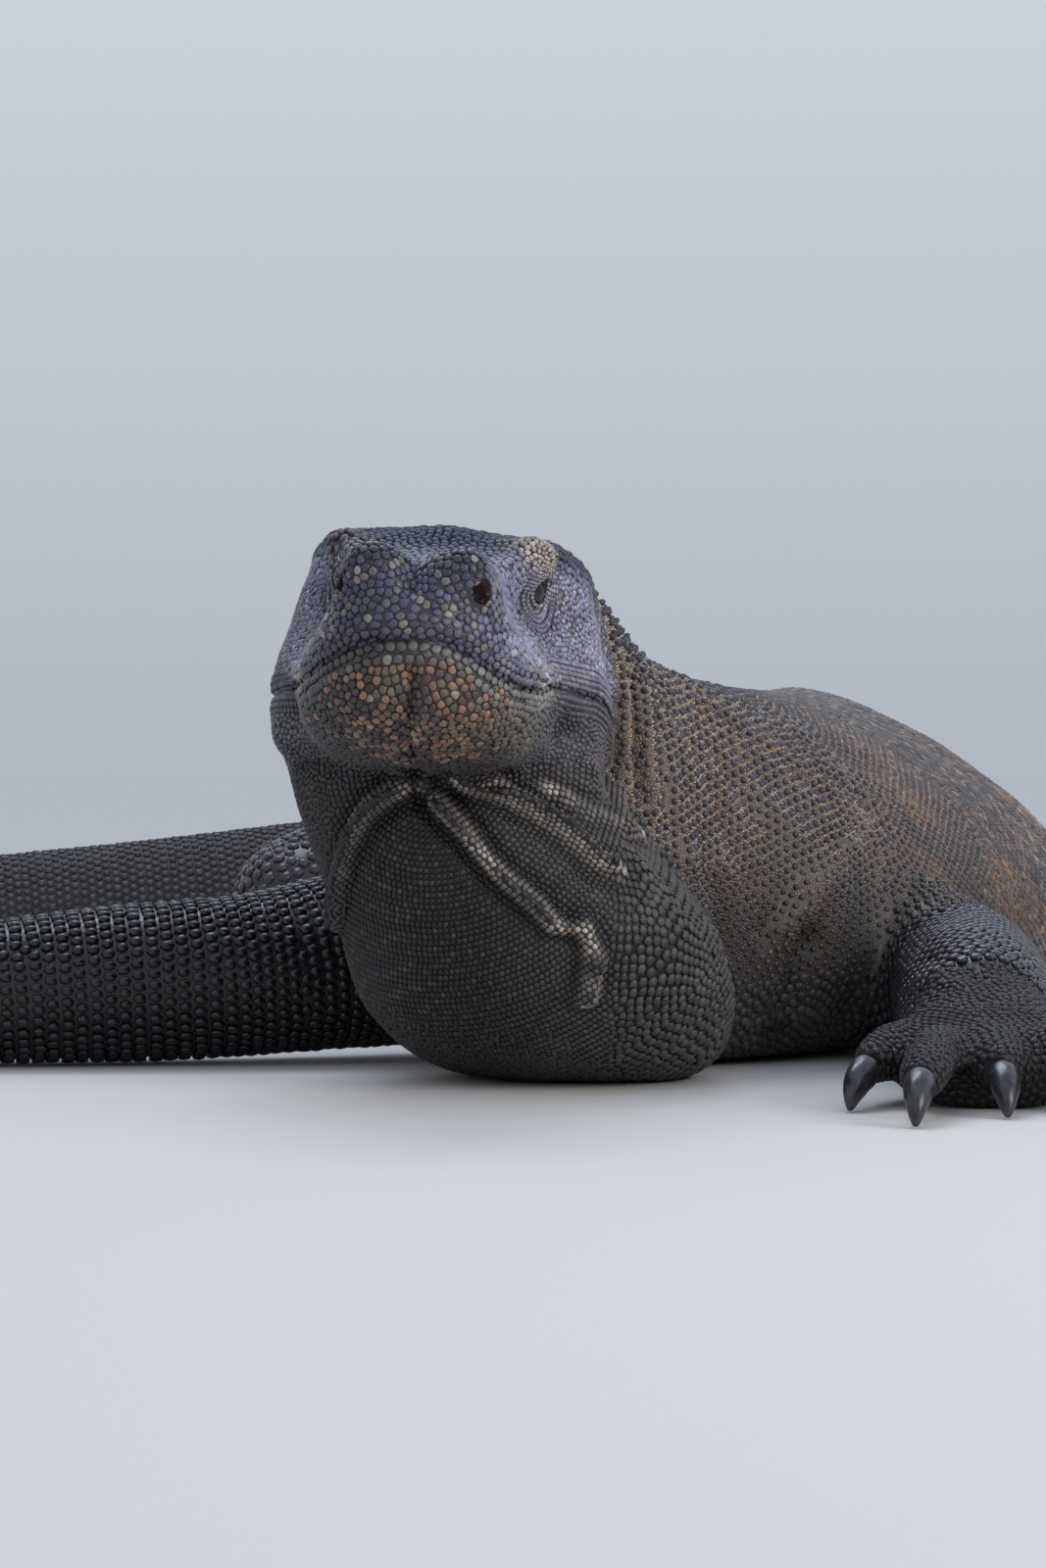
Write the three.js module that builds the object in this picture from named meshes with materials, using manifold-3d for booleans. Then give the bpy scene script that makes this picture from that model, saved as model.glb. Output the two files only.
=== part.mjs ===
// A Komodo dragon at rest, life size. It lies on its belly with the head raised and turned to the
// front, one forefoot ahead of it, the other foreleg out to the side and the tail swept round.
// Millimetres, +Z up. The head is towards -Y, the animal's left side is +X, the floor is z = 0.
import * as THREE from "three";
import { mergeVertices } from "three/addons/utils/BufferGeometryUtils.js";
import ManifoldModule from "manifold-3d";

// ---- Driving dimensions ----------------------------------------------------------------------
const GAP = 0.4;                 // clearance between neighbouring pieces
const BELOW_FLOOR = -12;         // cutters reach past the floor, so that they leave no film there
const BODY_SIDES = 20;           // facets round the neck, trunk and tail
const LEG_SIDES = 12;            // facets round a leg
const DIGIT_SIDES = 6;           // facets round a digit and its claw

const JAW_HINGE = new THREE.Vector3(-37, -40, 177);  // between the corners of the mouth
const HEAD_YAW = -3;             // degrees, the snout towards the animal's right
const HEAD_PITCH = -6;           // degrees, the snout up
const HEAD_ROLL = 4.4;           // degrees, the animal's right side up
const HEAD_BACK = 45;            // from the jaw hinge back to the nape

const EYE_RADIUS = 9;
const EYE_PLACE = [36.5, -42, 39];     // from the jaw hinge: outwards, back, up
const EYE_FACETS = [12, 7];            // round the eyeball, and from pole to pole

// The tail tapers evenly and widens again at its root. Each bend turns it by so many degrees, from
// a distance behind the root over a further distance.
const TAIL_LENGTH = 1330;
const TAIL_PIECES = 6;
const TAIL_STEPS = 4;            // lengths of each tail piece between rings
const TAIL_BENDS = [{ turn: 76, from: 0, over: 270 }, { turn: 96, from: 420, over: 520 }];
const TAIL_HEIGHT = { tip: 9, taper: 105, root: 26, rootPower: 6 };
const TAIL_HALF = { tip: 2.5, taper: 36, root: 46, rootPower: 5 };
const TAIL_WIDEST = 0.4;         // level of the greatest width, as a share of the height
const TAIL_SUNK = 0.1;           // share of the height that the floor flattens
const TAIL_POWER = 1.6;          // a slightly peaked back
const CLAW_LENGTH = 30;

// The body from nape to tail root. x, y: its middle on the floor; top: the height of the back;
// half: half its width; wide: the height of its widest level; under: its lowest level, which the
// floor flattens where it is below zero; power: 2 for a round back, less for a peaked one.
const BODY = [
  { x: -3, y: 62, top: 228, half: 86, wide: 95, under: 22, power: 2.2 },
  { x: 28, y: 125, top: 202, half: 96, wide: 78, under: -8, power: 2 },
  { x: 76, y: 200, top: 187, half: 122, wide: 68, under: -12, power: 1.8 },
  { x: 118, y: 310, top: 184, half: 146, wide: 62, under: -12, power: 1.55 },
  { x: 148, y: 450, top: 187, half: 168, wide: 60, under: -12, power: 1.45 },
  { x: 160, y: 600, top: 190, half: 178, wide: 60, under: -12, power: 1.42 },
  { x: 146, y: 750, top: 184, half: 164, wide: 60, under: -12, power: 1.45 },
  { x: 114, y: 880, top: 170, half: 132, wide: 60, under: -12, power: 1.5 },
  { x: 76, y: 978, top: 156, half: 106, wide: 60, under: -12, power: 1.5 },
  { x: 30, y: 1068, top: 140, half: 82, wide: 56, under: -14, power: 1.5 },
];
const BODY_STEPS = 2;            // rings between two stations
const BELLY_POWER = 2.4;         // a belly squarer than a circle
const TRUNK_PIECES = [["neck_rear", 0, 2], ["chest", 2, 4], ["trunk", 4, 6], ["pelvis", 6, 9]];

// The skull and upper jaw from the snout tip back, measured from the jaw hinge: back; lip: half
// width at the mouth; edge, edgeUp: half width and height of the ridge from nostril to brow;
// top: the height on the mid-line; hollow: how far the side dips between lip and ridge.
const SKULL = [
  { back: -164, lip: 7, edge: 6, edgeUp: 9, top: 15, hollow: 0 },
  { back: -159, lip: 22, edge: 17, edgeUp: 19, top: 26, hollow: 0 },
  { back: -149, lip: 33, edge: 26, edgeUp: 27, top: 33, hollow: 0 },
  { back: -133, lip: 41, edge: 31, edgeUp: 32, top: 35, hollow: 1 },
  { back: -108, lip: 48, edge: 33, edgeUp: 37, top: 39, hollow: 6 },
  { back: -78, lip: 56, edge: 39, edgeUp: 46, top: 48, hollow: 11 },
  { back: -42, lip: 65, edge: 48, edgeUp: 56, top: 60, hollow: 13 },
  { back: 0, lip: 75, edge: 57, edgeUp: 60, top: 69, hollow: 4 },
  { back: 45, lip: 76, edge: 63, edgeUp: 57, top: 73, hollow: 0 },
];
// The places of the outline's points: shares of the height of the side, then of the roof's quarter
// turn, then of the half width along the mouth
const SIDE_LEVELS = [0, 0.16, 0.36, 0.56, 0.76, 0.92];
const ROOF_TURNS = [0.05, 0.3, 0.6];
const MOUTH_SHARES = [0.5, 0, -0.5];
const SIDE_LEAN = 1.3;           // the side leans in late, near the ridge
const HOLLOW_HIGH = 1.2;         // the hollow is deepest above the middle of the side
const SKULL_CORE = 25;           // height above the hinge from which the skull is enlarged
const SKULL_RINGS = [-164, -161, -157, -151, -144, -137, -129, -120, -108, -95, -80, -66, -53, -40,
  -26, -10, 8, 26, 45];

// The lower jaw. top: half width at the mouth; bulge: its greatest half width; deep: its depth.
const JAW = [
  { back: -160, top: 6, bulge: 5, deep: 8 },
  { back: -155, top: 20, bulge: 18, deep: 20 },
  { back: -145, top: 31, bulge: 31, deep: 30 },
  { back: -130, top: 39, bulge: 42, deep: 36 },
  { back: -100, top: 47, bulge: 51, deep: 39 },
  { back: -60, top: 55, bulge: 57, deep: 39 },
  { back: -30, top: 61, bulge: 63, deep: 41 },
  { back: 0, top: 73, bulge: 78, deep: 46 },
  { back: 45, top: 75, bulge: 78, deep: 54 },
];
const JAW_STEPS = 14;            // facets round the underside
const JAW_SQUARE = 0.72;         // exponents: a jaw squarer than an ellipse
const JAW_FULL = 0.85;
const JAW_RINGS = [-160, -157, -152, -145, -135, -120, -100, -80, -60, -42, -25, -8, 10, 28, 45];

// The front of the neck where it meets the head, measured from the jaw hinge
const NECK_FRONT = { half: 77, above: 74, below: 60, square: 0.74 };
const NECK_MIDDLE = { share: 0.55, arch: 4 };  // the ring between its two ends

// The line of the mouth, which dips under the cheek teeth and rises at the corner.
const MOUTH = [
  { back: -164, up: 1 },
  { back: -110, up: -3 },
  { back: -62, up: -6 },
  { back: -30, up: -1 },
  { back: -5, up: 2 },
  { back: 20, up: -2 },
  { back: 45, up: -5 },
];

// Swellings of the head: nostril, brow, temple. Each is a place, a radius and a height.
const SWELLINGS = [
  { out: 17, back: -141, up: 31, radius: 14, height: 4.5 },
  { out: 50, back: -44, up: 54, radius: 16, height: 3.5 },
];
const SWELL_OUTWARDS = 0.6;      // swellings lean up more than out
const SNOUT_FRONT = -130;        // ahead of this place they lean forwards too
const SWELL_FORWARDS = -0.5;

// The throat pouch, in level slices from under the jaw to the floor. front: its foremost y.
const THROAT_BACK = 105;
const THROAT_SQUARE = 0.9;
const THROAT = [
  { z: 150, x: -35, half: 64, front: -88 },
  { z: 134, x: -33, half: 72, front: -98 },
  { z: 104, x: -18, half: 77, front: -100 },
  { z: 70, x: 2, half: 86, front: -94 },
  { z: 36, x: 11, half: 87, front: -72 },
  { z: 12, x: 20, half: 75, front: -38 },
  { z: 0, x: 26, half: 58, front: -4 },
];

// The legs. upper and lower: points down the leg as [x, y, z, radius]. The foot stands at the
// lower end, on the heading in degrees (0 is +X, 90 is +Y). elbow: the heading square to which
// the elbow is parted, and without it the pieces meet in round joints. side: -1 on a left leg, 1
// on a right one. digits: [angle outwards, length] from the first to the fifth.
const LEGS = {
  foreleg_left: {
    upper: [[84, 238, 64, 58], [134, 222, 60, 55], [182, 184, 46, 46], [212, 134, 37, 40]],
    lower: [[212, 134, 37, 40], [209, 76, 35, 38], [204, 16, 34, 36], [200, -42, 29, 32]],
    elbow: -68, heading: -92, side: -1, palm: 1,
    digits: [[-22, 44], [-9, 92], [1, 42], [24, 62], [62, 44]],
  },
  foreleg_right: {
    upper: [[10, 196, 58, 50], [-58, 164, 52, 47], [-112, 142, 44, 41], [-152, 132, 40, 39]],
    lower: [[-152, 132, 40, 39], [-206, 124, 37, 38], [-262, 114, 33, 34], [-316, 104, 28, 31]],
    elbow: 190, heading: 190, side: 1, palm: 1,
    digits: [[-34, 50], [-14, 66], [2, 74], [20, 70], [56, 46]],
  },
  hindleg_left: {
    upper: [[96, 966, 74, 60], [168, 926, 72, 62], [238, 870, 60, 52], [286, 826, 48, 43]],
    lower: [[270, 850, 46, 34], [294, 886, 38, 36], [304, 924, 34, 31], [304, 958, 31, 28]],
    heading: -34, side: -1, palm: 1.12,
    digits: [[-44, 46], [-22, 60], [-6, 74], [10, 84], [46, 56]],
  },
  hindleg_right: {
    upper: [[50, 946, 74, 60], [-26, 902, 73, 62], [-96, 836, 64, 53], [-146, 786, 54, 45]],
    lower: [[-128, 812, 48, 34], [-152, 848, 38, 36], [-162, 890, 34, 31], [-164, 926, 31, 28]],
    heading: 214, side: 1, palm: 1.12,
    digits: [[-44, 46], [-22, 60], [-6, 74], [10, 84], [46, 56]],
  },
};
const ROUND_END = [[0.35, 0.9], [0.78, 0.6]];  // share of the radius, and how far out it lies
const SLACK = 0.5;               // tension of the curves through given points

// The palm in slices ahead of the wrist: ahead, half width, height
const PALM = [[0, 31, 57], [22, 36, 50], [50, 44, 41], [74, 40, 32], [92, 24, 22]];
const PALM_START = { flat: GAP / 2, round: -16 };
const PALM_MIDDLE = 0.42;        // level of its greatest width, as a share of the height
const PALM_SQUARE = { out: 0.85, up: 0.9 };

// The digits run from inside the palm over the knuckle down to the claw: share of the length, level
const KNUCKLE_AHEAD = [46, 66, 72, 68, 46];    // where each digit leaves the palm
const KNUCKLE_OUT = [-31, -19, -1, 18, 33];
const DIGIT_START = 16;          // length inside the palm
const DIGIT_PATH = [[0, 19], [0.4, 24], [0.75, 20], [1, 16.5]];
const DIGIT_RADII = [13, 13.5, 12.5, 12.5, 9.5];
const DIGIT_TALL = 0.95;         // height over width
const CLAW_RADII = [7, 6.2, 4.2, 0.8];
const CLAW_TALL = 1.12;
const CLAW_BEND = 0.66;          // share of the length at which the claw turns down
const CLAW_REACH = 0.74;
const CLAW_TIP = 1.2;            // level of the tip

// ---- Colours and finishes --------------------------------------------------------------------
const skin = (colour) => new THREE.MeshStandardMaterial({ color: colour, roughness: 0.6, metalness: 0 });
const HEAD_SKIN = skin(0x3f3d44);
const JAW_SKIN = skin(0x5c4f40);
const THROAT_SKIN = skin(0x37332c);
const BODY_SKIN = skin(0x4c4640);
const LEG_SKIN = skin(0x2f3036);
const HORN = new THREE.MeshStandardMaterial({ color: 0x24242a, roughness: 0.3, metalness: 0 });
const EYE = new THREE.MeshStandardMaterial({ color: 0x16110d, roughness: 0.05, metalness: 0 });

// ---- Numbers and lists -----------------------------------------------------------------------
const degrees = THREE.MathUtils.degToRad;
const signedPower = (value, power) => Math.sign(value) * Math.abs(value) ** power;
const smoothStep = (value) => THREE.MathUtils.smoothstep(value, 0, 1);

// Cubic values of every field of a table at a place of its key field
function valuesAt(table, key, place) {
  const last = table.length - 1;
  let i = 0;
  while (i < last - 1 && place > table[i + 1][key]) i += 1;
  const from = table[i];
  const to = table[i + 1];
  const before = table[Math.max(0, i - 1)];
  const after = table[Math.min(last, i + 2)];
  const span = to[key] - from[key];
  const t = (place - from[key]) / span;
  const values = {};
  for (const field of Object.keys(from)) {
    const slopeIn = ((to[field] - before[field]) / (to[key] - before[key])) * span;
    const slopeOut = ((after[field] - from[field]) / (after[key] - from[key])) * span;
    const h = t * t * (3 - 2 * t);
    const shape = t * (1 - t) * ((1 - t) * slopeIn - t * slopeOut);
    values[field] = from[field] * (1 - h) + to[field] * h + shape;
  }
  return values;
}

// ---- Shells from rings -----------------------------------------------------------------------
// A closed shell over rings of equally many points, each end closed by a fan
function loft(rings) {
  const count = rings[0].length;
  const points = rings.flat();
  const faces = [];
  for (let r = 0; r < rings.length - 1; r += 1) {
    for (let k = 0; k < count; k += 1) {
      const a = r * count + k;
      const b = r * count + ((k + 1) % count);
      faces.push([a, b, b + count], [a, b + count, a + count]);
    }
  }
  for (const r of [0, rings.length - 1]) {
    const middle = new THREE.Vector3();
    rings[r].forEach((point) => middle.addScaledVector(point, 1 / count));
    const centre = points.push(middle) - 1;
    for (let k = 0; k < count; k += 1) {
      const a = r * count + k;
      const b = r * count + ((k + 1) % count);
      faces.push(r === 0 ? [b, a, centre] : [a, b, centre]);
    }
  }
  const volume = faces.reduce((sum, [a, b, c]) => {
    return sum + points[a].dot(new THREE.Vector3().crossVectors(points[b], points[c]));
  }, 0);
  if (volume < 0) faces.forEach((face) => face.reverse());
  const geometry = new THREE.BufferGeometry();
  const positions = new Float32Array(points.flatMap((point) => point.toArray()));
  geometry.setAttribute("position", new THREE.BufferAttribute(positions, 3));
  geometry.setIndex(faces.flat());
  return geometry;
}

// ---- Joins and cuts --------------------------------------------------------------------------
const wasm = await ManifoldModule();
wasm.setup();

function toSolid(geometry) {
  const bare = geometry.clone();
  bare.deleteAttribute("normal");
  bare.deleteAttribute("uv");
  const merged = mergeVertices(bare, 1e-4);
  return new wasm.Manifold(new wasm.Mesh({
    numProp: 3,
    vertProperties: new Float32Array(merged.attributes.position.array),
    triVerts: new Uint32Array(merged.index.array),
  }));
}

function toGeometry(solid) {
  const mesh = solid.getMesh();
  const geometry = new THREE.BufferGeometry();
  geometry.setAttribute("position", new THREE.BufferAttribute(mesh.vertProperties, 3));
  geometry.setIndex(new THREE.BufferAttribute(mesh.triVerts, 1));
  return geometry;
}

// What a cut leaves: its largest piece, without the chips
function cut(solid, cutters) {
  const left = cutters.reduce((whole, cutter) => whole.subtract(cutter), solid);
  return left.decompose().sort((a, b) => b.volume() - a.volume())[0];
}

// ---- Neck, trunk and tail --------------------------------------------------------------------
// Rings of the trunk: the stations' sizes, and the way the spine heads there
function trunkRings() {
  const stations = BODY.map((station, index) => ({ ...station, index }));
  const rings = [];
  for (let step = 0; step <= (BODY.length - 1) * BODY_STEPS; step += 1) {
    const index = step / BODY_STEPS;
    const here = valuesAt(stations, "index", index);
    const ahead = valuesAt(stations, "index", Math.min(index + 0.05, BODY.length - 1));
    const behind = valuesAt(stations, "index", Math.max(index - 0.05, 0));
    rings.push({ ...here, heading: Math.atan2(ahead.y - behind.y, ahead.x - behind.x) });
  }
  return rings;
}

// Rings of the tail: it turns to the animal's right, then comes round to the front
function tailRings(root) {
  const rings = [root];
  const steps = TAIL_PIECES * TAIL_STEPS;
  const step = TAIL_LENGTH / steps;
  let { x, y } = root;
  for (let i = 1; i <= steps; i += 1) {
    const run = (i - 0.5) * step;
    const heading = TAIL_BENDS.reduce((sum, { turn, from, over }) => {
      return sum + degrees(turn) * smoothStep((run - from) / over);
    }, root.heading);
    x += step * Math.cos(heading);
    y += step * Math.sin(heading);
    const left = 1 - i / steps;
    const [top, half] = [TAIL_HEIGHT, TAIL_HALF].map(({ tip, taper, root: extra, rootPower }) => {
      return tip + taper * left + extra * left ** rootPower;
    });
    const wide = TAIL_WIDEST * top;
    rings.push({ x, y, heading, top, half, wide, under: -TAIL_SUNK * top, power: TAIL_POWER });
  }
  return rings;
}

// The points of one ring, level with the floor where it would pass through it
function bodyRing(ring, grow = 0, floor = 0) {
  const points = [];
  for (let k = 0; k < BODY_SIDES; k += 1) {
    const angle = (2 * Math.PI * k) / BODY_SIDES;
    const upper = Math.sin(angle) >= 0;
    const power = 2 / (upper ? ring.power : BELLY_POWER);
    const reach = upper ? ring.top - ring.wide : ring.wide - ring.under;
    const out = (ring.half + grow) * signedPower(Math.cos(angle), power);
    const z = ring.wide + (reach + grow) * signedPower(Math.sin(angle), power);
    points.push(new THREE.Vector3(
      ring.x + out * Math.sin(ring.heading),
      ring.y - out * Math.cos(ring.heading),
      Math.max(z, floor),
    ));
  }
  return points;
}

// One length of the body, its ends drawn in by half the clearance
function bodyLength(rings, grow = 0, floor = 0) {
  const shift = GAP / 2 - grow;
  const ends = [[0, shift], [rings.length - 1, -shift]];
  const moved = rings.map((ring) => ({ ...ring }));
  for (const [index, along] of ends) {
    moved[index].x += along * Math.cos(moved[index].heading);
    moved[index].y += along * Math.sin(moved[index].heading);
  }
  return loft(moved.map((ring) => bodyRing(ring, grow, floor)));
}

// ---- Head ------------------------------------------------------------------------------------
const headFrame = new THREE.Matrix4().makeRotationFromEuler(
  new THREE.Euler(degrees(HEAD_PITCH), degrees(HEAD_ROLL), degrees(HEAD_YAW), "ZXY"),
).setPosition(JAW_HINGE);

const mouthUp = (back) => valuesAt(MOUTH, "back", back).up;

function swell(point) {
  for (const lump of SWELLINGS) {
    const place = new THREE.Vector3(Math.sign(point.x) * lump.out, lump.back, lump.up);
    const near = Math.exp(-2 * point.distanceToSquared(place) / (lump.radius * lump.radius));
    const out = new THREE.Vector3(point.x * SWELL_OUTWARDS, 0, point.z).normalize();
    if (point.y < SNOUT_FRONT) out.setY(SWELL_FORWARDS);
    point.addScaledVector(out, lump.height * near);
  }
  return point;
}

// The skull's outline at one place: lip, side, ridge, roof, then back along the mouth
function skullRing(back, grow = 0) {
  const size = valuesAt(SKULL, "back", back);
  const floor = mouthUp(back) - grow;
  const half = [];
  for (const t of SIDE_LEVELS) {
    const dip = size.hollow * Math.sin(Math.PI * t ** HOLLOW_HIGH);
    const out = size.lip + (size.edge - size.lip) * t ** SIDE_LEAN - dip;
    half.push([out, floor + (size.edgeUp - floor) * t]);
  }
  for (const t of ROOF_TURNS) {
    const angle = (Math.PI / 2) * t;
    half.push([size.edge * Math.cos(angle), size.edgeUp + (size.top - size.edgeUp) * Math.sin(angle)]);
  }
  const flat = MOUTH_SHARES.map((t) => [t * size.lip, floor]);
  const outline = [
    ...half,
    [0, size.top],
    ...half.map(([out, up]) => [-out, up]).reverse(),
    ...flat.map(([out, up]) => [-out, up]),
  ];
  return outline.map(([out, up]) => {
    const above = up - SKULL_CORE;
    const grown = grow / (Math.hypot(out, above) || 1);
    return swell(new THREE.Vector3(out * (1 + grown), back, up + above * grown));
  });
}

function jawRing(back, grow = 0) {
  const size = valuesAt(JAW, "back", back);
  const top = mouthUp(back) - GAP + grow;
  const outline = [];
  for (let k = 0; k <= JAW_STEPS; k += 1) {
    const angle = (Math.PI * k) / JAW_STEPS;
    const down = Math.sin(angle) ** JAW_FULL;
    const bulge = 1 + (size.bulge / size.top - 1) * Math.sin(2 * Math.min(angle, Math.PI - angle));
    const out = (size.top + grow) * bulge * signedPower(Math.cos(angle), JAW_SQUARE);
    outline.push(new THREE.Vector3(out, back, top - (size.deep + 2 * grow) * down));
  }
  for (const t of MOUTH_SHARES) outline.push(new THREE.Vector3(-t * size.top, back, top));
  return outline;
}

function stretched(rings, grow) {
  const ends = [[0, -grow], [rings.length - 1, grow]];
  for (const [index, along] of ends) rings[index].forEach((point) => point.setY(point.y + along));
  return rings;
}

const skullShell = (grow = 0) => loft(stretched(SKULL_RINGS.map((b) => skullRing(b, grow)), grow));
const jawShell = (grow = 0) => loft(stretched(JAW_RINGS.map((b) => jawRing(b, grow)), grow));

// The front of the neck starts square to the head and ends square to the spine
function neckFront(root, grow = 0, floor = 0) {
  const start = [];
  for (let k = 0; k < BODY_SIDES; k += 1) {
    const angle = (2 * Math.PI * k) / BODY_SIDES;
    const reach = Math.sin(angle) > 0 ? NECK_FRONT.above : NECK_FRONT.below;
    start.push(new THREE.Vector3(
      (NECK_FRONT.half + grow) * signedPower(Math.cos(angle), NECK_FRONT.square),
      HEAD_BACK + GAP - grow,
      (reach + grow) * signedPower(Math.sin(angle), NECK_FRONT.square),
    ).applyMatrix4(headFrame));
  }
  const end = { ...root };
  end.x -= (GAP / 2) * Math.cos(end.heading);
  end.y -= (GAP / 2) * Math.sin(end.heading);
  const finish = bodyRing(end, grow, floor);
  const middle = start.map((point, k) => {
    const mean = point.clone().lerp(finish[k], NECK_MIDDLE.share);
    const arch = NECK_MIDDLE.arch * Math.sin((2 * Math.PI * k) / BODY_SIDES);
    return mean.setZ(Math.max(floor, mean.z + arch));
  });
  return loft([start, middle, finish]);
}

// ---- Throat ----------------------------------------------------------------------------------
function throatShell(grow = 0) {
  return loft(THROAT.map((slice) => {
    const middle = (slice.front + THROAT_BACK) / 2;
    const deep = (THROAT_BACK - slice.front) / 2;
    const points = [];
    for (let k = 0; k < BODY_SIDES; k += 1) {
      const angle = (2 * Math.PI * k) / BODY_SIDES;
      points.push(new THREE.Vector3(
        slice.x + (slice.half + grow) * signedPower(Math.cos(angle), THROAT_SQUARE),
        middle + (deep + grow) * signedPower(Math.sin(angle), THROAT_SQUARE),
        slice.z === 0 && grow ? BELOW_FLOOR : slice.z,
      ));
    }
    return points;
  }));
}

// ---- Legs ------------------------------------------------------------------------------------
// A tapering limb through points [x, y, z, radius]. An end with a heading is flat and square to it,
// and the other ends are round.
function limb(points, startHeading, endHeading, grow = 0, floor = 0) {
  const places = points.map(([x, y, z]) => new THREE.Vector3(x, y, z));
  const path = new THREE.CatmullRomCurve3(places, false, "catmullrom", SLACK);
  const sizes = points.map(([, , , radius], index) => ({ index, radius }));
  const last = points.length - 1;
  const rings = [];
  const addRing = (at, scale, along) => {
    const t = at / last;
    const tangent = path.getTangent(t);
    const heading = { 0: startHeading, [last]: endHeading }[at];
    if (heading !== undefined) {
      tangent.set(Math.cos(degrees(heading)), Math.sin(degrees(heading)), 0);
    }
    const side = new THREE.Vector3(-tangent.y, tangent.x, 0).normalize();
    const up = new THREE.Vector3().crossVectors(tangent, side).multiplyScalar(-1);
    if (up.z < 0) up.negate();
    const radius = (valuesAt(sizes, "index", at).radius + grow) * scale;
    const centre = path.getPoint(t).addScaledVector(tangent, along);
    const ring = [];
    for (let k = 0; k < LEG_SIDES; k += 1) {
      const angle = (2 * Math.PI * k) / LEG_SIDES;
      const point = centre.clone().addScaledVector(side, radius * Math.cos(angle));
      point.addScaledVector(up, radius * Math.sin(angle));
      ring.push(point.setZ(Math.max(point.z, floor)));
    }
    rings.push(ring);
  };
  const first = points[0][3];
  const final = points[last][3];
  const flatStart = startHeading !== undefined;
  const flatEnd = endHeading !== undefined;
  if (!flatStart) ROUND_END.forEach(([share, out]) => addRing(0, share, -out * first));
  for (let step = 0; step <= last * 2; step += 1) {
    const flat = (step === 0 && flatStart) || (step === last * 2 && flatEnd);
    const inward = step === 0 ? GAP / 2 - grow : grow - GAP / 2;
    addRing(step / 2, 1, flat ? inward : 0);
  }
  if (!flatEnd) ROUND_END.toReversed().forEach(([share, out]) => addRing(last, share, out * final));
  return loft(rings);
}

// A tube of elliptic rings along a path in the foot's own frame
function digitShell(path, radii, stretch, grow = 0) {
  const steps = radii.length - 1;
  return loft(radii.map((radius, step) => {
    const t = step / steps;
    const tangent = path.getTangent(t);
    const side = new THREE.Vector3(-tangent.y, tangent.x, 0).normalize();
    const up = new THREE.Vector3().crossVectors(side, tangent);
    if (up.z < 0) up.negate();
    const ring = [];
    for (let k = 0; k < DIGIT_SIDES; k += 1) {
      const angle = (2 * Math.PI * k) / DIGIT_SIDES;
      const point = path.getPoint(t).addScaledVector(side, (radius + grow) * Math.cos(angle));
      point.addScaledVector(up, (radius * stretch + grow) * Math.sin(angle));
      ring.push(point.setZ(Math.max(point.z, 0)));
    }
    return ring;
  }));
}

// The foot in its own frame: x ahead of the wrist, y to the left, z up from the floor
function footPieces(leg) {
  const start = leg.elbow === undefined ? PALM_START.round : PALM_START.flat;
  const palmRings = PALM.map(([ahead, half, height], index) => {
    const ring = [];
    for (let k = 0; k < LEG_SIDES; k += 1) {
      const angle = (2 * Math.PI * k) / LEG_SIDES;
      const out = half * leg.palm * signedPower(Math.cos(angle), PALM_SQUARE.out);
      const rise = signedPower(Math.sin(angle), PALM_SQUARE.up);
      const z = height * (PALM_MIDDLE + (1 - PALM_MIDDLE) * rise);
      ring.push(new THREE.Vector3(index === 0 ? start : ahead * leg.palm, out, Math.max(z, 0)));
    }
    return ring;
  });
  let foot = toSolid(loft(palmRings));
  const claws = [];
  leg.digits.forEach(([angle, length], index) => {
    const turn = degrees(angle) * -leg.side;
    const ahead = new THREE.Vector3(Math.cos(turn), Math.sin(turn), 0);
    const knuckle = new THREE.Vector3(
      (KNUCKLE_AHEAD[index] - DIGIT_START) * leg.palm,
      KNUCKLE_OUT[index] * -leg.side * leg.palm,
      0,
    );
    const at = (along, z) => knuckle.clone().addScaledVector(ahead, along).setZ(z);
    const reach = length + DIGIT_START;
    const places = DIGIT_PATH.map(([share, level]) => at(share * reach, level));
    const path = new THREE.CatmullRomCurve3(places, false, "catmullrom", SLACK);
    foot = foot.add(toSolid(digitShell(path, DIGIT_RADII, DIGIT_TALL)));
    const slope = path.getTangent(1);
    const root = path.getPoint(1).addScaledVector(slope, GAP);
    const bend = root.clone().addScaledVector(slope, CLAW_BEND * CLAW_LENGTH);
    const tip = at(reach + CLAW_REACH * CLAW_LENGTH, CLAW_TIP);
    const clawPath = new THREE.QuadraticBezierCurve3(root, bend, tip);
    claws.push(digitShell(clawPath, CLAW_RADII, CLAW_TALL));
  });
  return { foot, claws };
}

// ---- Assembly --------------------------------------------------------------------------------
const dragon = new THREE.Group();
const headGroup = new THREE.Group();
headGroup.applyMatrix4(headFrame);
dragon.add(headGroup);

function addPiece(parent, name, geometry, material) {
  const piece = new THREE.Mesh(geometry, material);
  piece.name = name;
  parent.add(piece);
}

const trunk = trunkRings();
const tail = tailRings(trunk[trunk.length - 1]);
const bodyCutters = [];

for (const [name, from, to] of TRUNK_PIECES) {
  const rings = trunk.slice(from * BODY_STEPS, to * BODY_STEPS + 1);
  addPiece(dragon, name, bodyLength(rings), BODY_SKIN);
  bodyCutters.push(toSolid(bodyLength(rings, GAP, BELOW_FLOOR)));
}
for (let i = 0; i < TAIL_PIECES; i += 1) {
  const rings = tail.slice(i * TAIL_STEPS, (i + 1) * TAIL_STEPS + 1);
  addPiece(dragon, `tail_${i + 1}`, bodyLength(rings), BODY_SKIN);
}
bodyCutters.push(toSolid(bodyLength(tail.slice(0, TAIL_STEPS + 1), GAP, BELOW_FLOOR)));

addPiece(dragon, "neck_front", neckFront(trunk[0]), BODY_SKIN);
const neckCutter = toSolid(neckFront(trunk[0], GAP, BELOW_FLOOR));
bodyCutters.push(neckCutter);

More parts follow.
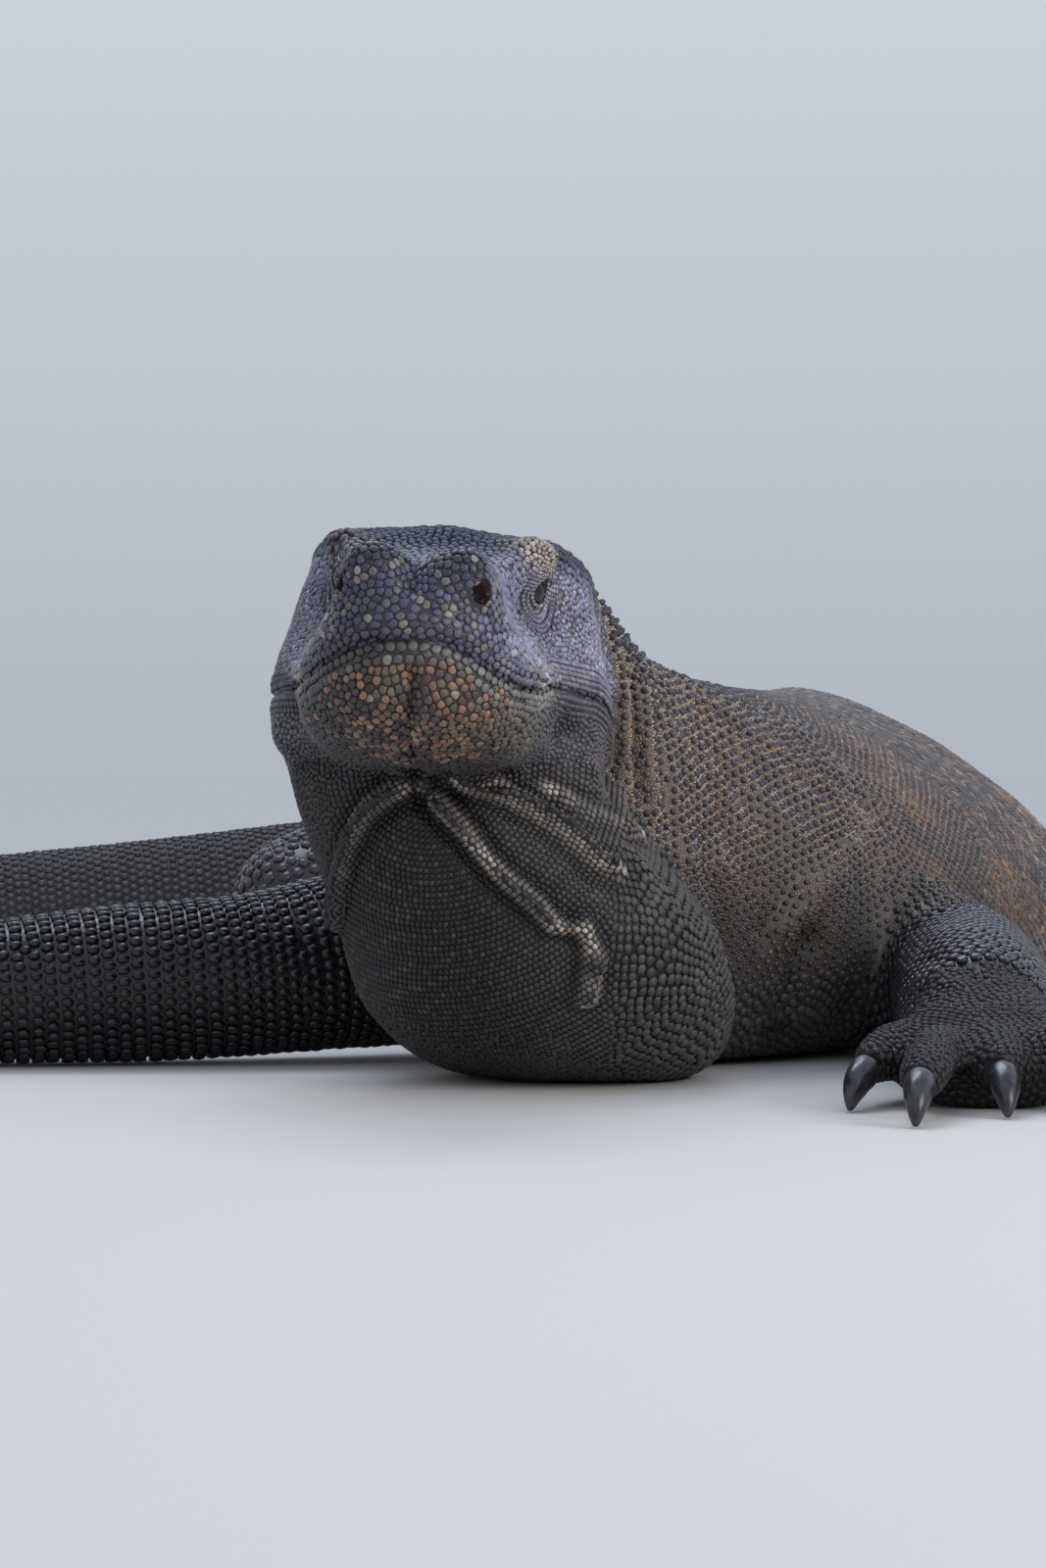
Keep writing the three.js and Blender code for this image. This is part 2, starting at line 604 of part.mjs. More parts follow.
let skull = toSolid(skullShell());
for (const [side, name] of [[1, "eye_left"], [-1, "eye_right"]]) {
  const [out, back, up] = EYE_PLACE;
  const eyeball = (radius) => new THREE.SphereGeometry(radius, ...EYE_FACETS).translate(side * out, back, up);
  addPiece(headGroup, name, eyeball(EYE_RADIUS), EYE);
  skull = skull.subtract(toSolid(eyeball(EYE_RADIUS + GAP)));
}
addPiece(headGroup, "head", toGeometry(skull), HEAD_SKIN);
addPiece(headGroup, "lower_jaw", jawShell(), JAW_SKIN);

const headShells = [skullShell(GAP), jawShell(GAP)];
const headCutters = headShells.map((shell) => toSolid(shell.applyMatrix4(headFrame)));
const throat = cut(toSolid(throatShell()), [...headCutters, ...bodyCutters]);
addPiece(dragon, "throat", toGeometry(throat), THROAT_SKIN);
bodyCutters.push(toSolid(throatShell(GAP)));

for (const [name, leg] of Object.entries(LEGS)) {
  const squareAnkle = leg.elbow === undefined ? undefined : leg.heading;
  const room = leg.elbow === undefined ? GAP : GAP / 2;
  const exactAndCutter = (points, ...ends) => [
    limb(points, ...ends),
    limb(points, ...ends, room, BELOW_FLOOR),
  ];
  const upperShells = exactAndCutter(leg.upper, undefined, leg.elbow);
  const lowerShells = exactAndCutter(leg.lower, leg.elbow, squareAnkle);

  const upper = cut(toSolid(upperShells[0]), bodyCutters);
  addPiece(dragon, `${name}_upper`, toGeometry(upper), LEG_SKIN);
  const lower = cut(toSolid(lowerShells[0]), [toSolid(upperShells[1]), ...bodyCutters]);
  addPiece(dragon, `${name}_lower`, toGeometry(lower), LEG_SKIN);

  const footGroup = new THREE.Group();
  const [x, y] = leg.lower[leg.lower.length - 1];
  footGroup.position.set(x, y, 0);
  footGroup.rotation.z = degrees(leg.heading);
  footGroup.updateMatrixWorld(true);
  dragon.add(footGroup);
  const toFoot = footGroup.matrixWorld.clone().invert();
  const shells = [upperShells[1], lowerShells[1]];
  const legCutters = shells.map((shell) => toSolid(shell.clone().applyMatrix4(toFoot)));
  const { foot, claws } = footPieces(leg);
  addPiece(footGroup, `${name}_foot`, toGeometry(cut(foot, legCutters)), LEG_SKIN);
  claws.forEach((claw, index) => addPiece(footGroup, `${name}_claw_${index + 1}`, claw, HORN));
}

// The origin is the middle of the floor under the animal
dragon.updateMatrixWorld(true);
const box = new THREE.Box3().setFromObject(dragon, true);
const middle = box.getCenter(new THREE.Vector3());
dragon.position.set(-middle.x, -middle.y, -box.min.z);

export default dragon;
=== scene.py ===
# %% [markdown]
# # A Komodo dragon at rest
# The imported model gives every solid of the animal at its true size and place.
# Here the solids of flesh become one skin, scales are laid over it, and the
# eyes and claws get their own finish. Lengths are in metres unless said.

# %% Load the model
import math
import bpy
import numpy as np
from mathutils import Matrix, Vector
from mathutils.bvhtree import BVHTree
from mathutils.kdtree import KDTree


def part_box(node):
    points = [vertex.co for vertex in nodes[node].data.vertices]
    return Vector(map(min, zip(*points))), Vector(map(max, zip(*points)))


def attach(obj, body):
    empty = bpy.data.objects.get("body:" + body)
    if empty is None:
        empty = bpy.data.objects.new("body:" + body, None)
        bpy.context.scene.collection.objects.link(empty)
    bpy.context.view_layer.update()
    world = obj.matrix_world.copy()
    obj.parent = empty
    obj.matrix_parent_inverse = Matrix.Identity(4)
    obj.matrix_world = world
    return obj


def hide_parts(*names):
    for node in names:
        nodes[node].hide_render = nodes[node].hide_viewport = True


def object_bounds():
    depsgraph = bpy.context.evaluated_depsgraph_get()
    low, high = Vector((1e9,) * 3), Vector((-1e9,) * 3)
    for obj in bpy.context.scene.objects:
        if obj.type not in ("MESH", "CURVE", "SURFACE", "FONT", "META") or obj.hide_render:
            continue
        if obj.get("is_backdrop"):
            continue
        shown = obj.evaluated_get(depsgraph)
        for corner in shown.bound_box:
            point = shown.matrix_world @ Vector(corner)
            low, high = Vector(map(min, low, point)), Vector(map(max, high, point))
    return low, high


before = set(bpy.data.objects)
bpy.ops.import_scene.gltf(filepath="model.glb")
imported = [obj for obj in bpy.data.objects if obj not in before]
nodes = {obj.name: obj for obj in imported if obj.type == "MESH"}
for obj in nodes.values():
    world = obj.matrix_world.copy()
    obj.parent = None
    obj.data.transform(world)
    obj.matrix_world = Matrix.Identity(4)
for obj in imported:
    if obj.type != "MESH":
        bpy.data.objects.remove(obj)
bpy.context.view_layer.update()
rng = np.random.default_rng(7)

# %% [markdown]
# The head is turned, raised and tilted as one piece, so its own axes are found
# first: x to the animal's left, y towards the nape, z up. The line through both
# eyes gives the place, and the three turns are those of the solid head.

# %% Axes of the head
HEAD_PITCH, HEAD_ROLL, HEAD_YAW = (math.radians(a) for a in (-6, 4.4, -3))
EYE_IN_HEAD = Vector((0, -0.042, 0.039))
EYE_RADIUS = 0.009


def middle(node):
    low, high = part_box(node)
    return (low + high) / 2


head_turn = Matrix.Rotation(HEAD_YAW, 3, "Z") @ Matrix.Rotation(HEAD_PITCH, 3, "X")
head_turn = head_turn @ Matrix.Rotation(HEAD_ROLL, 3, "Y")
eye_places = {side: middle("eye_" + side) for side in ("left", "right")}
eye_mean = (eye_places["left"] + eye_places["right"]) / 2
HEAD_TURN = np.array(head_turn)
HEAD_ORIGIN = np.array(eye_mean - head_turn @ EYE_IN_HEAD)


def to_head(points):
    """Points of the row frame in the head's own axes."""
    return (points - HEAD_ORIGIN) @ HEAD_TURN


def from_head(points):
    return np.asarray(points, float) @ HEAD_TURN.T + HEAD_ORIGIN


print("eyes", [tuple(round(v, 4) for v in p) for p in eye_places.values()])

# %% [markdown]
# A low camera a little under two metres in front of the animal looks straight
# along its length, with a long lens, so that the head stands large above the
# forelegs.

# %% Camera
CAMERA_FROM_EYES = Vector((0.0360, -1.7222, -0.0771))
CAMERA_LENS, SENSOR_WIDTH = 92.25, 36
HORIZON_SHIFT = -0.0125
NEAREST = 0.05
camera_data = bpy.data.cameras.new("camera")
camera_data.lens, camera_data.sensor_width = CAMERA_LENS, SENSOR_WIDTH
camera_data.shift_y, camera_data.clip_start = HORIZON_SHIFT, NEAREST
camera = bpy.data.objects.new("camera", camera_data)
camera.location = eye_mean + CAMERA_FROM_EYES
camera.rotation_euler = (math.radians(90), 0, 0)
bpy.context.scene.collection.objects.link(camera)
bpy.context.scene.camera = camera
print("camera", tuple(round(v, 3) for v in camera.location))

# %% [markdown]
# Materials and the sky are small networks of nodes. These helpers add nodes
# from a list, join them, and set the stops of a colour ramp.

# %% Helpers for materials
def node_tree(data):
    """Switches on the nodes of a material or world."""
    data.use_nodes = True
    return data.node_tree


def add_nodes(tree, *wanted):
    """New nodes by label, each given as label, kind, place, settings and input values."""
    made = {}
    for label, kind, place, settings, values in wanted:
        made[label] = node = tree.nodes.new("ShaderNode" + kind)
        node.location = place
        for key, value in settings.items():
            setattr(node, key, value)
        for key, value in values.items():
            node.inputs[key].default_value = value
    return made


def join_nodes(tree, made, *links):
    """Joins an output of one node to an input of another, for every link."""
    for start, output, end, into in links:
        tree.links.new(made[start].outputs[output], made[end].inputs[into])


def set_ramp(node, *stops):
    """Gives a colour ramp these stops, each a place and a colour."""
    for number, (place, colour) in enumerate(stops):
        elements = node.color_ramp.elements
        stop = elements[number] if number < 2 else elements.new(place)
        stop.position, stop.color = place, (*colour, 1)


def new_material(name, **values):
    """A material, its nodes and its shader, with these values on the shader's inputs."""
    made = bpy.data.materials.new(name)
    tree = node_tree(made)
    shader = tree.nodes["Principled BSDF"]
    for key, value in values.items():
        shader.inputs[key.replace("_", " ")].default_value = value
    return made, tree, shader


def only(obj):
    """Deselects everything, then selects and activates one object."""
    bpy.ops.object.select_all(action="DESELECT")
    obj.select_set(True)
    bpy.context.view_layer.objects.active = obj


print("helpers for materials ready")

# %% [markdown]
# The animal lies on a plain pale floor that runs on to the horizon. A bright
# even sky stands round it, a big soft lamp above and behind gives the scales
# their gloss, and one in front keeps the throat readable.

# %% Floor and light
FLOOR_SIZE = 120
FLOOR_COLOUR = (0.66, 0.63, 0.585)
SKY_STOPS = ((0.0, (0.444, 0.478, 0.536)), (0.22, (0.62, 0.665, 0.73)), (0.9, (0.66, 0.76, 0.95)))
bpy.ops.object.select_all(action="DESELECT")
bpy.ops.mesh.primitive_plane_add(size=FLOOR_SIZE, location=(0, 1.0, -0.0005))
floor = bpy.context.object
floor.name = "floor"
only(floor)
bpy.ops.object.transform_apply(location=True, rotation=True, scale=True)
floor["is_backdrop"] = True
floor.data.materials.append(
    new_material("pale_floor", Base_Color=(*FLOOR_COLOUR, 1), Roughness=0.9)[0])


def lamp(name, place, aim, size, power, colour):
    data = bpy.data.lights.new(name, "AREA")
    data.shape = "RECTANGLE"
    data.size, data.size_y = size
    data.energy, data.color = power, colour
    made = bpy.data.objects.new(name, data)
    made.location = place
    made.rotation_euler = (Vector(aim) - Vector(place)).to_track_quat("-Z", "Y").to_euler()
    bpy.context.scene.collection.objects.link(made)


lamp("sky", (-0.2, 0.9, 2.4), (0.05, -0.2, 0.1), (1.5, 1.0), 24, (0.80, 0.88, 1.0))
lamp("side", (2.1, -2.0, 1.0), (0.1, -0.5, 0.1), (1.4, 1.2), 30, (1.0, 0.97, 0.93))
world = bpy.data.worlds.new("studio")
tree = node_tree(world)
made = add_nodes(tree, ("direction", "TexCoord", (0, 0), {}, {}),
                 ("parts", "SeparateXYZ", (0, 0), {}, {}), ("shades", "ValToRGB", (0, 0), {}, {}))
made["sky"] = tree.nodes["Background"]
join_nodes(tree, made, ("direction", "Generated", "parts", 0), ("parts", "Z", "shades", "Fac"),
           ("shades", "Color", "sky", "Color"))
set_ramp(made["shades"], *SKY_STOPS)
made["sky"].inputs["Strength"].default_value = 1.0
bpy.context.scene.world = world
bpy.context.scene.view_settings.view_transform = "Standard"
print("lamps and floor in place")

# %% [markdown]
# The skin is a single closed surface over all the solids of flesh. The copies
# are joined and wrapped in one even mesh of small squares, which closes the
# hair-thin gaps where the solids meet. The eyes go in too, so that the lids can
# be shaped over them.

# %% Wrap the flesh in one skin
SKIN_VOXEL = 0.003
WELD = 1e-5
flesh = sorted(n for n in nodes if "claw" not in n and "eye" not in n)


def joined_copy(names, label):
    """One new object holding merged copies of these solids."""
    made = []
    for n in names:
        twin = bpy.data.objects.new("copy_" + n, nodes[n].data.copy())
        bpy.context.scene.collection.objects.link(twin)
        made.append(twin)
    only(made[0])
    for twin in made:
        twin.select_set(True)
    if len(made) > 1:
        bpy.ops.object.join()
    whole = bpy.context.object
    whole.name = label
    bpy.ops.object.mode_set(mode="EDIT")
    bpy.ops.mesh.select_all(action="SELECT")
    bpy.ops.mesh.remove_doubles(threshold=WELD)
    bpy.ops.object.mode_set(mode="OBJECT")
    return whole


def apply(obj, kind, label, **settings):
    """Adds a modifier with these settings and applies it."""
    only(obj)
    modifier = obj.modifiers.new(label, kind)
    for key, value in settings.items():
        setattr(modifier, key, value)
    bpy.ops.object.modifier_apply(modifier=modifier.name)


def read_points(obj, kind="co"):
    """The places of an object's points, or their normals."""
    flat = np.empty(len(obj.data.vertices) * 3, np.float32)
    obj.data.vertices.foreach_get(kind, flat)
    return flat.reshape(-1, 3).astype(float)


def read_normals(obj):
    return read_points(obj, "normal")


def write_points(obj, points):
    obj.data.vertices.foreach_set("co", points.astype(np.float32).ravel())
    obj.data.update()


skin = joined_copy(flesh + ["eye_left", "eye_right"], "skin")
skin.data.materials.clear()
apply(skin, "REMESH", "wrap", mode="VOXEL", voxel_size=SKIN_VOXEL)
print("wrapped", len(skin.data.vertices), "points")

# %% [markdown]
# The solids have flat facets, wide on the trunk and narrow on the toes. Each
# point is smoothed by an amount that suits how thick the body is there, which
# is found by looking straight through it.

# %% Smooth by thickness
FULL_RADIUS = 0.17
SMOOTH_ROUNDS = 230
LEVELS = 20
HEAD_SHARE, LEAST_SHARE = 0.13, 0.03


def thickness(obj, longest):
    """Half the way through the body behind each point."""
    tree = BVHTree.FromObject(obj, bpy.context.evaluated_depsgraph_get())
    points, normals = read_points(obj), read_normals(obj)
    found = np.full(len(points), longest)
    for i, (point, normal) in enumerate(zip(points, normals)):
        far = tree.ray_cast(Vector(point - normal * 0.002), Vector(-normal), 2 * longest)[3]
        if far is not None:
            found[i] = far / 2 + 0.001
    return np.minimum(found, longest)


def soft_step(low, high, value):
    """0 below low, 1 above high, and a smooth rise between."""
    t = np.clip((value - low) / (high - low), 0, 1)
    return t * t * (3 - 2 * t)


def soft_fall(low, high, value):
    """1 below low, 0 above high, and a smooth fall between."""
    return 1 - soft_step(low, high, value)


radius_here = thickness(skin, FULL_RADIUS)
at_head = to_head(read_points(skin))
on_head = soft_fall(0.02, 0.06, at_head[:, 1]) * soft_step(-0.075, -0.05, at_head[:, 2])
smooth_weight = np.clip(radius_here / FULL_RADIUS, 0.02, 1)
smooth_weight = smooth_weight * (1 - on_head) + HEAD_SHARE * on_head
group = skin.vertex_groups.new(name="smooth")
for level in range(1, LEVELS + 1):
    chosen = np.where(np.ceil(smooth_weight * LEVELS) == level)[0]
    if len(chosen):
        group.add(chosen.tolist(), level / LEVELS if level > 1 else LEAST_SHARE, "REPLACE")
apply(skin, "SMOOTH", "soften", factor=0.5, iterations=SMOOTH_ROUNDS, vertex_group="smooth")
print("smoothed", round(float(radius_here.mean()), 4), "mean half thickness")

# %% [markdown]
# The trunk needs few points and the head many. Far parts are thinned, while the
# head, the throat and the feet keep their points. The face and throat are
# divided once more, and the lids and nostrils twice, to be shaped finely.

# %% Thin the trunk, divide the face
THIN_TO = 125000
DENSE_NODES = ("head", "lower_jaw", "throat", "neck_front", "foot")
FACE_BOX = np.array(((-0.09, -9, -0.05), (0.09, -0.02, 0.085)))
THROAT_BOX = np.array(((-0.035, -0.62, 0.030), (0.200, -0.38, 0.215)))
NOSTRILS = np.array([(0.0258, -0.1520, 0.0208), (-0.0305, -0.1440, 0.0215)])


def solid_tree(names):
    """A search tree over these solids and, for each of its faces, the solid's number."""
    points, faces, owner = [], [], []
    for number, n in enumerate(names):
        mesh = nodes[n].data
        start = len(points)
        points.extend(v.co.copy() for v in mesh.vertices)
        faces.extend([start + i for i in p.vertices] for p in mesh.polygons)
        owner.extend([number] * len(mesh.polygons))
    return BVHTree.FromPolygons(points, faces), owner


flesh_tree, flesh_owner = solid_tree(flesh)


def nearest_solid(points):
    """For each point the number of the flesh solid that it lies nearest to."""
    return np.array([flesh_owner[flesh_tree.find_nearest(Vector(p))[2]] for p in points])


def solids_where(test, owner):
    """True for the points whose solid's name passes the test."""
    return np.array([test(n) for n in flesh])[owner]


def inside_box(points, box):
    return ((points > box[0]) & (points < box[1])).all(axis=1)


def distance(points, place):
    return np.linalg.norm(points - np.asarray(place), axis=1)


def divide(chosen_here):
    """Divides the triangles whose middles are chosen."""
    only(skin)
    bpy.ops.object.mode_set(mode="EDIT")
    bpy.ops.mesh.select_all(action="DESELECT")
    bpy.ops.object.mode_set(mode="OBJECT")
    centres = np.empty(len(skin.data.polygons) * 3, np.float32)
    skin.data.polygons.foreach_get("center", centres)
    chosen = chosen_here(centres.reshape(-1, 3).astype(float))
    skin.data.polygons.foreach_set("select", chosen)
    bpy.ops.object.mode_set(mode="EDIT")
    bpy.ops.mesh.subdivide(number_cuts=1, smoothness=0)
    bpy.ops.mesh.select_all(action="SELECT")
    bpy.ops.mesh.quads_convert_to_tris(quad_method="BEAUTY", ngon_method="BEAUTY")
    bpy.ops.object.mode_set(mode="OBJECT")
    return int(chosen.sum())


def face_and_throat(points):
    return inside_box(to_head(points), FACE_BOX) | inside_box(points, THROAT_BOX)


def eyes_and_nostrils(points):
    at = to_head(points)
    balls = [distance(at, to_head(np.array(p)[None])[0]) < 0.024 for p in eye_places.values()]
    return np.any(balls + [distance(at, place) < 0.012 for place in NOSTRILS], axis=0)


dense = solids_where(lambda n: any(key in n for key in DENSE_NODES), nearest_solid(read_points(skin)))
thin_group = skin.vertex_groups.new(name="thin")
thin_group.add(np.where(~dense)[0].tolist(), 1.0, "REPLACE")
thin_group.add(np.where(dense)[0].tolist(), 0.0, "REPLACE")
whole_count = sum(len(p.vertices) - 2 for p in skin.data.polygons)
apply(skin, "DECIMATE", "thin", ratio=THIN_TO / whole_count, vertex_group="thin")
print("thinned", whole_count, "to", len(skin.data.polygons), "triangles")
print("divided", divide(face_and_throat), "and", divide(eyes_and_nostrils))
print("skin has", len(skin.data.polygons), "triangles")

# %% [markdown]
# Forms are raised and sunk along the surface: round swells, and ridges or
# creases that follow a chain of points. The places are kept as whole tenths of
# a millimetre, which is short to write.

# %% Helpers for shaping
def tenths(rows):
    """Numbers in tenths of a millimetre, as metres."""
    return np.array(rows, float) / 10000


def chains(rows):
    """For each row its chain of points, its width and its height."""
    return [(tenths(row[2:]), *tenths(row[:2])) for row in rows]


def bell(value, centre, width):
    """1 at the centre, falling smoothly to 0 within about two widths."""
    return np.exp(-(((value - centre) / width) ** 2))


def swell(points, place, size, height=1.0):
    """A round rise of this height, as wide as size says along x, y and z."""
    away = ((points - np.asarray(place)) / np.asarray(size)) ** 2
    return height * np.exp(-away.sum(axis=1))


def run_along(line):
    """How far along a line each of its points lies."""
    return np.concatenate([[0], np.cumsum(np.linalg.norm(np.diff(line, axis=0), axis=1))])


def near_chain(points, chain):
    """Distance from each point to a chain of points, and how far along it lies, 0 to 1."""
    chain = np.asarray(chain, float)
    steps = chain[1:] - chain[:-1]
    lengths = np.linalg.norm(steps, axis=1)
    before = np.concatenate([[0], np.cumsum(lengths)[:-1]])
    best = np.full(len(points), 1e9)
    along = np.zeros(len(points))
    for start, step, length, run in zip(chain, steps, lengths, before):
        share = np.clip(((points - start) @ step) / length**2, 0, 1)
        gap = np.linalg.norm(points - start - share[:, None] * step, axis=1)
        closer = gap < best
        best[closer] = gap[closer]
        along[closer] = (run + share[closer] * length) / lengths.sum()
    return best, along


def ridge(points, chain, width, height, fade=0.12):
    """A ridge, or with a negative height a crease, that fades at both ends."""
    gap, along = near_chain(points, chain)
    ends = soft_step(0, fade, along) * soft_step(0, fade, 1 - along)
    return height * bell(gap, 0, width) * ends


print("one tenth is", tenths([1])[0], "m")

# %% [markdown]
# The skull shows through the skin: two round nostril swellings with a groove
# between them, a sharp ridge from nostril to brow, a hollow in front of the eye
# and a heavy brow. The mouth is one long closed line between two rows of lip
# plates, and the chin has a groove down its middle.

# %% Forms of the head
# how far back along the head, and how high the closed mouth is there
MOUTH_LEFT = tenths([(-1640, 0), (-1590, -10), (-1546, -33), (-1475, -64), (-1377, -98), (-1194, -116),
                     (-861, -90), (-790, -55), (-460, -30), (-110, -10), (170, -30), (450, -60)])
MOUTH_RIGHT = tenths([(-1640, 0), (-1569, -26), (-1513, -54), (-1410, -90), (-1225, -122), (-861, -125),
                      (-199, -88), (450, -85)])
CANTHUS = tenths([(280, -1460, 300), (310, -1150, 380), (360, -790, 480), (470, -560, 540)])
CHIN_GROOVE = tenths([(30, -1600, -70), (20, -1510, -260), (10, -1300, -400), (0, -920, -450)])
SNOUT_GROOVE = tenths([(-10, -1640, 140), (-10, -1580, 270), (0, -1400, 370), (0, -1120, 410)])
# place, size and height of each swelling and hollow on one side; the other side mirrors it
HEAD_FORMS = tenths([
    (185, -1500, 285, 104, 126, 92, 94),    # nostril swelling
    (440, -590, 500, 130, 150, 105, 88),    # brow
    (500, -340, 585, 100, 150, 80, 26),     # end of the brow
    (430, -880, 280, 120, 260, 100, -40),   # hollow before the eye
    (430, -640, 330, 70, 80, 100, -26),     # front of the socket
    (200, -1460, -240, 140, 160, 120, 30),  # chin
    (610, -320, -190, 110, 120, 70, -75),   # hollow under the cheek
    (670, -80, -330, 130, 180, 130, 76),    # jowl
    (620, -100, 380, 140, 300, 180, 32),    # temple
])
# height over the mouth, width and rise of the closed line and of the two lips
LIP_LINES = ((0, 0.0010, -0.0030), (0.0048, 0.0034, 0.0011), (-0.0048, 0.0030, 0.0006))
CHEEK_FOLD = 0.0052


def mouth_level(at):
    """Height of the closed mouth at these places of the head; the sides differ a little."""
    left, right = (np.interp(at[:, 1], *line.T) for line in (MOUTH_LEFT, MOUTH_RIGHT))
    return np.where(at[:, 0] > 0, left, right)


points, normals = read_points(skin), read_normals(skin)
at = to_head(points)
rise = swell(at, (0.0, -0.158, -0.008), (0.024, 0.010, 0.006), 0.0024)
for form in HEAD_FORMS:
    for side in (1, -1):
        rise += swell(at, form[:3] * (side, 1, 1), form[3:6], form[6])
for side in (1, -1):
    rise += ridge(at, CANTHUS * (side, 1, 1), 0.0060, 0.0016)
rise += swell(at, (-0.0440, -0.0500, 0.0570), (0.0140, 0.0200, 0.0100), -0.0036)
rise += swell(at, (0.0060, -0.0500, 0.0580), (0.0240, 0.0300, 0.0120), 0.0026)
rise += ridge(at, SNOUT_GROOVE, 0.0048, -0.0058)
rise += ridge(at, CHIN_GROOVE, 0.0022, -0.0046)
from_mouth = at[:, 2] - mouth_level(at)
front = soft_fall(0.03, 0.05, at[:, 1]) * soft_step(-0.075, -0.06, at[:, 2])
lip_zone = front * (np.abs((normals @ HEAD_TURN)[:, 2]) < 0.93)
for level, width, height in LIP_LINES:
    rise += height * bell(from_mouth, level, width) * lip_zone
cheek = soft_step(-0.078, -0.062, at[:, 1]) * front * soft_step(0.003, 0.006, from_mouth)
cheek *= soft_fall(0.016, 0.024, from_mouth)
rise -= 0.0002 * (1 + np.cos(2 * np.pi * from_mouth / CHEEK_FOLD)) * cheek
points = points + normals * rise[:, None]
print("head forms from", round(rise.min() * 1000, 2), "to", round(rise.max() * 1000, 2), "mm")

# %% [markdown]
# The eye is a ball deep in the skull, and only an almond of it shows. Around it
# the skin is drawn onto a shell just outside the ball, which makes the lids; in
# the almond it sinks behind the ball's surface. Rings of fine folds run under
# the eye. The nostrils are pits with a thick rim.

# %% Lids, folds under the eye, nostrils
EYE_OPEN_LONG, EYE_OPEN_HIGH = 0.0050, 0.0056
LID_THICK, SUNK_BEHIND = 0.0012, 0.0022
LID_FOLD, LID_FOLD_HEIGHT = 0.0042, 0.0006
EYE_LOOKS = np.array((0.84, -0.54, 0.04))
NOSTRIL_RADIUS, NOSTRIL_DEPTH = 0.0040, 0.0078


def inward_of(place):
    """The way into a nostril, in head axes."""
    inward = np.array([-0.70 * np.sign(place[0]), 0.70, -0.12])
    return inward / np.linalg.norm(inward)


def eye_frame(name, side):
    """Middle of the eyeball, and the directions along, up and out of its opening."""
    looks = EYE_LOOKS * (side, 1, 1) / np.linalg.norm(EYE_LOOKS)
    across = np.cross((0, 0, 1.0), looks)
    across /= np.linalg.norm(across)
    return to_head(np.array(eye_places[name])[None])[0], across, np.cross(looks, across), looks


EYES = {1: eye_frame("left", 1), -1: eye_frame("right", -1)}


def almond(at, side):
    """Below 1 inside the eye's opening, 1 on its edge; the way from the ball; and how high."""
    ball, across, up, looks = EYES[side]
    away = at - ball
    high = away @ up
    edge = np.sqrt(((away @ across) / EYE_OPEN_LONG) ** 2 + (high / EYE_OPEN_HIGH) ** 2)
    return np.where(away @ looks > 0.001, edge, 9.0), away, high


at = to_head(points)
for side in (1, -1):
    edge, away, high = almond(at, side)
    reach = np.linalg.norm(away, axis=1)
    upper_lid = 0.0036 * bell(edge, 1.42, 0.42) * soft_step(-0.002, 0.004, high)
    lower_lid = 0.0014 * bell(edge, 1.40, 0.35)
    lid = EYE_RADIUS + LID_THICK + np.maximum(upper_lid, lower_lid)
    shell = EYE_RADIUS - SUNK_BEHIND + (lid - EYE_RADIUS + SUNK_BEHIND) * soft_step(0.90, 1.08, edge)
    pull = soft_fall(0.0112, 0.0165, reach) * soft_fall(1.7, 2.4, edge) * (reach < 0.0185)
    at = at + away / np.maximum(reach, 1e-6)[:, None] * ((shell - reach) * pull)[:, None]
    rings = np.cos(2 * np.pi * (edge - 1.8) * EYE_OPEN_HIGH / LID_FOLD)
    folds = soft_step(1.7, 2.0, edge) * soft_fall(3.6, 4.4, edge) * (edge < 9)
    folds *= soft_fall(-0.006, 0.000, high)
    at = at - (normals @ HEAD_TURN) * (LID_FOLD_HEIGHT * (1 + rings) * folds)[:, None]
for place in NOSTRILS:
    away, inward = at - place, inward_of(place)
    gap = np.linalg.norm(away, axis=1)
    off_axis = away - (away @ inward)[:, None] * inward
    off_axis = np.linalg.norm(off_axis * (1, 1, 1.25), axis=1)
    depth = NOSTRIL_DEPTH * np.exp(-((off_axis / NOSTRIL_RADIUS) ** 4)) * (gap < 0.012)
    rim = 0.0014 * bell(off_axis, 0.0062, 0.0018) * (gap < 0.014)
    at = at + inward * depth[:, None] - inward * rim[:, None]
write_points(skin, from_head(at))
print("lids", LID_THICK * 1000, "mm thick, nostrils", NOSTRIL_RADIUS * 2000, "mm wide")

# %% [markdown]
# The throat is loose skin. It hangs in ropes that start under the chin and run
# down and outwards over the pouch, end in knots, and go on as folds along the
# neck. Each rope is a ridge with a shallow trough at either side. Each row below
# is a width, a height and then the points of a rope, pleat or groove.

# %% Folds of the throat and neck
ROPES = chains([
    (31, 92, (185, -6025, 1324), (264, -6037, 1237), (351, -6042, 1141), (438, -6045, 1025),
     (542, -6021, 925), (650, -5998, 837), (729, -5977, 740), (834, -5960, 719)),
    (30, 92, (293, -6011, 1368), (426, -6005, 1339), (526, -5992, 1309), (622, -5955, 1259),
     (718, -5918, 1200), (819, -5886, 1124), (916, -5860, 1023), (1006, -5777, 983)),
    (32, 75, (136, -6011, 1339), (39, -5993, 1318), (-59, -5919, 1250), (-111, -5874, 1191),
     (-187, -5683, 1002), (-207, -5513, 878), (-236, -5075, 698)),
    (36, 32, (701, -5866, 1330), (851, -5716, 1220), (1001, -5516, 1150), (1181, -5166, 1120)),
    (34, 40, (864, -5960, 734), (901, -5886, 584), (886, -5826, 480), (875, -5799, 397)),
])
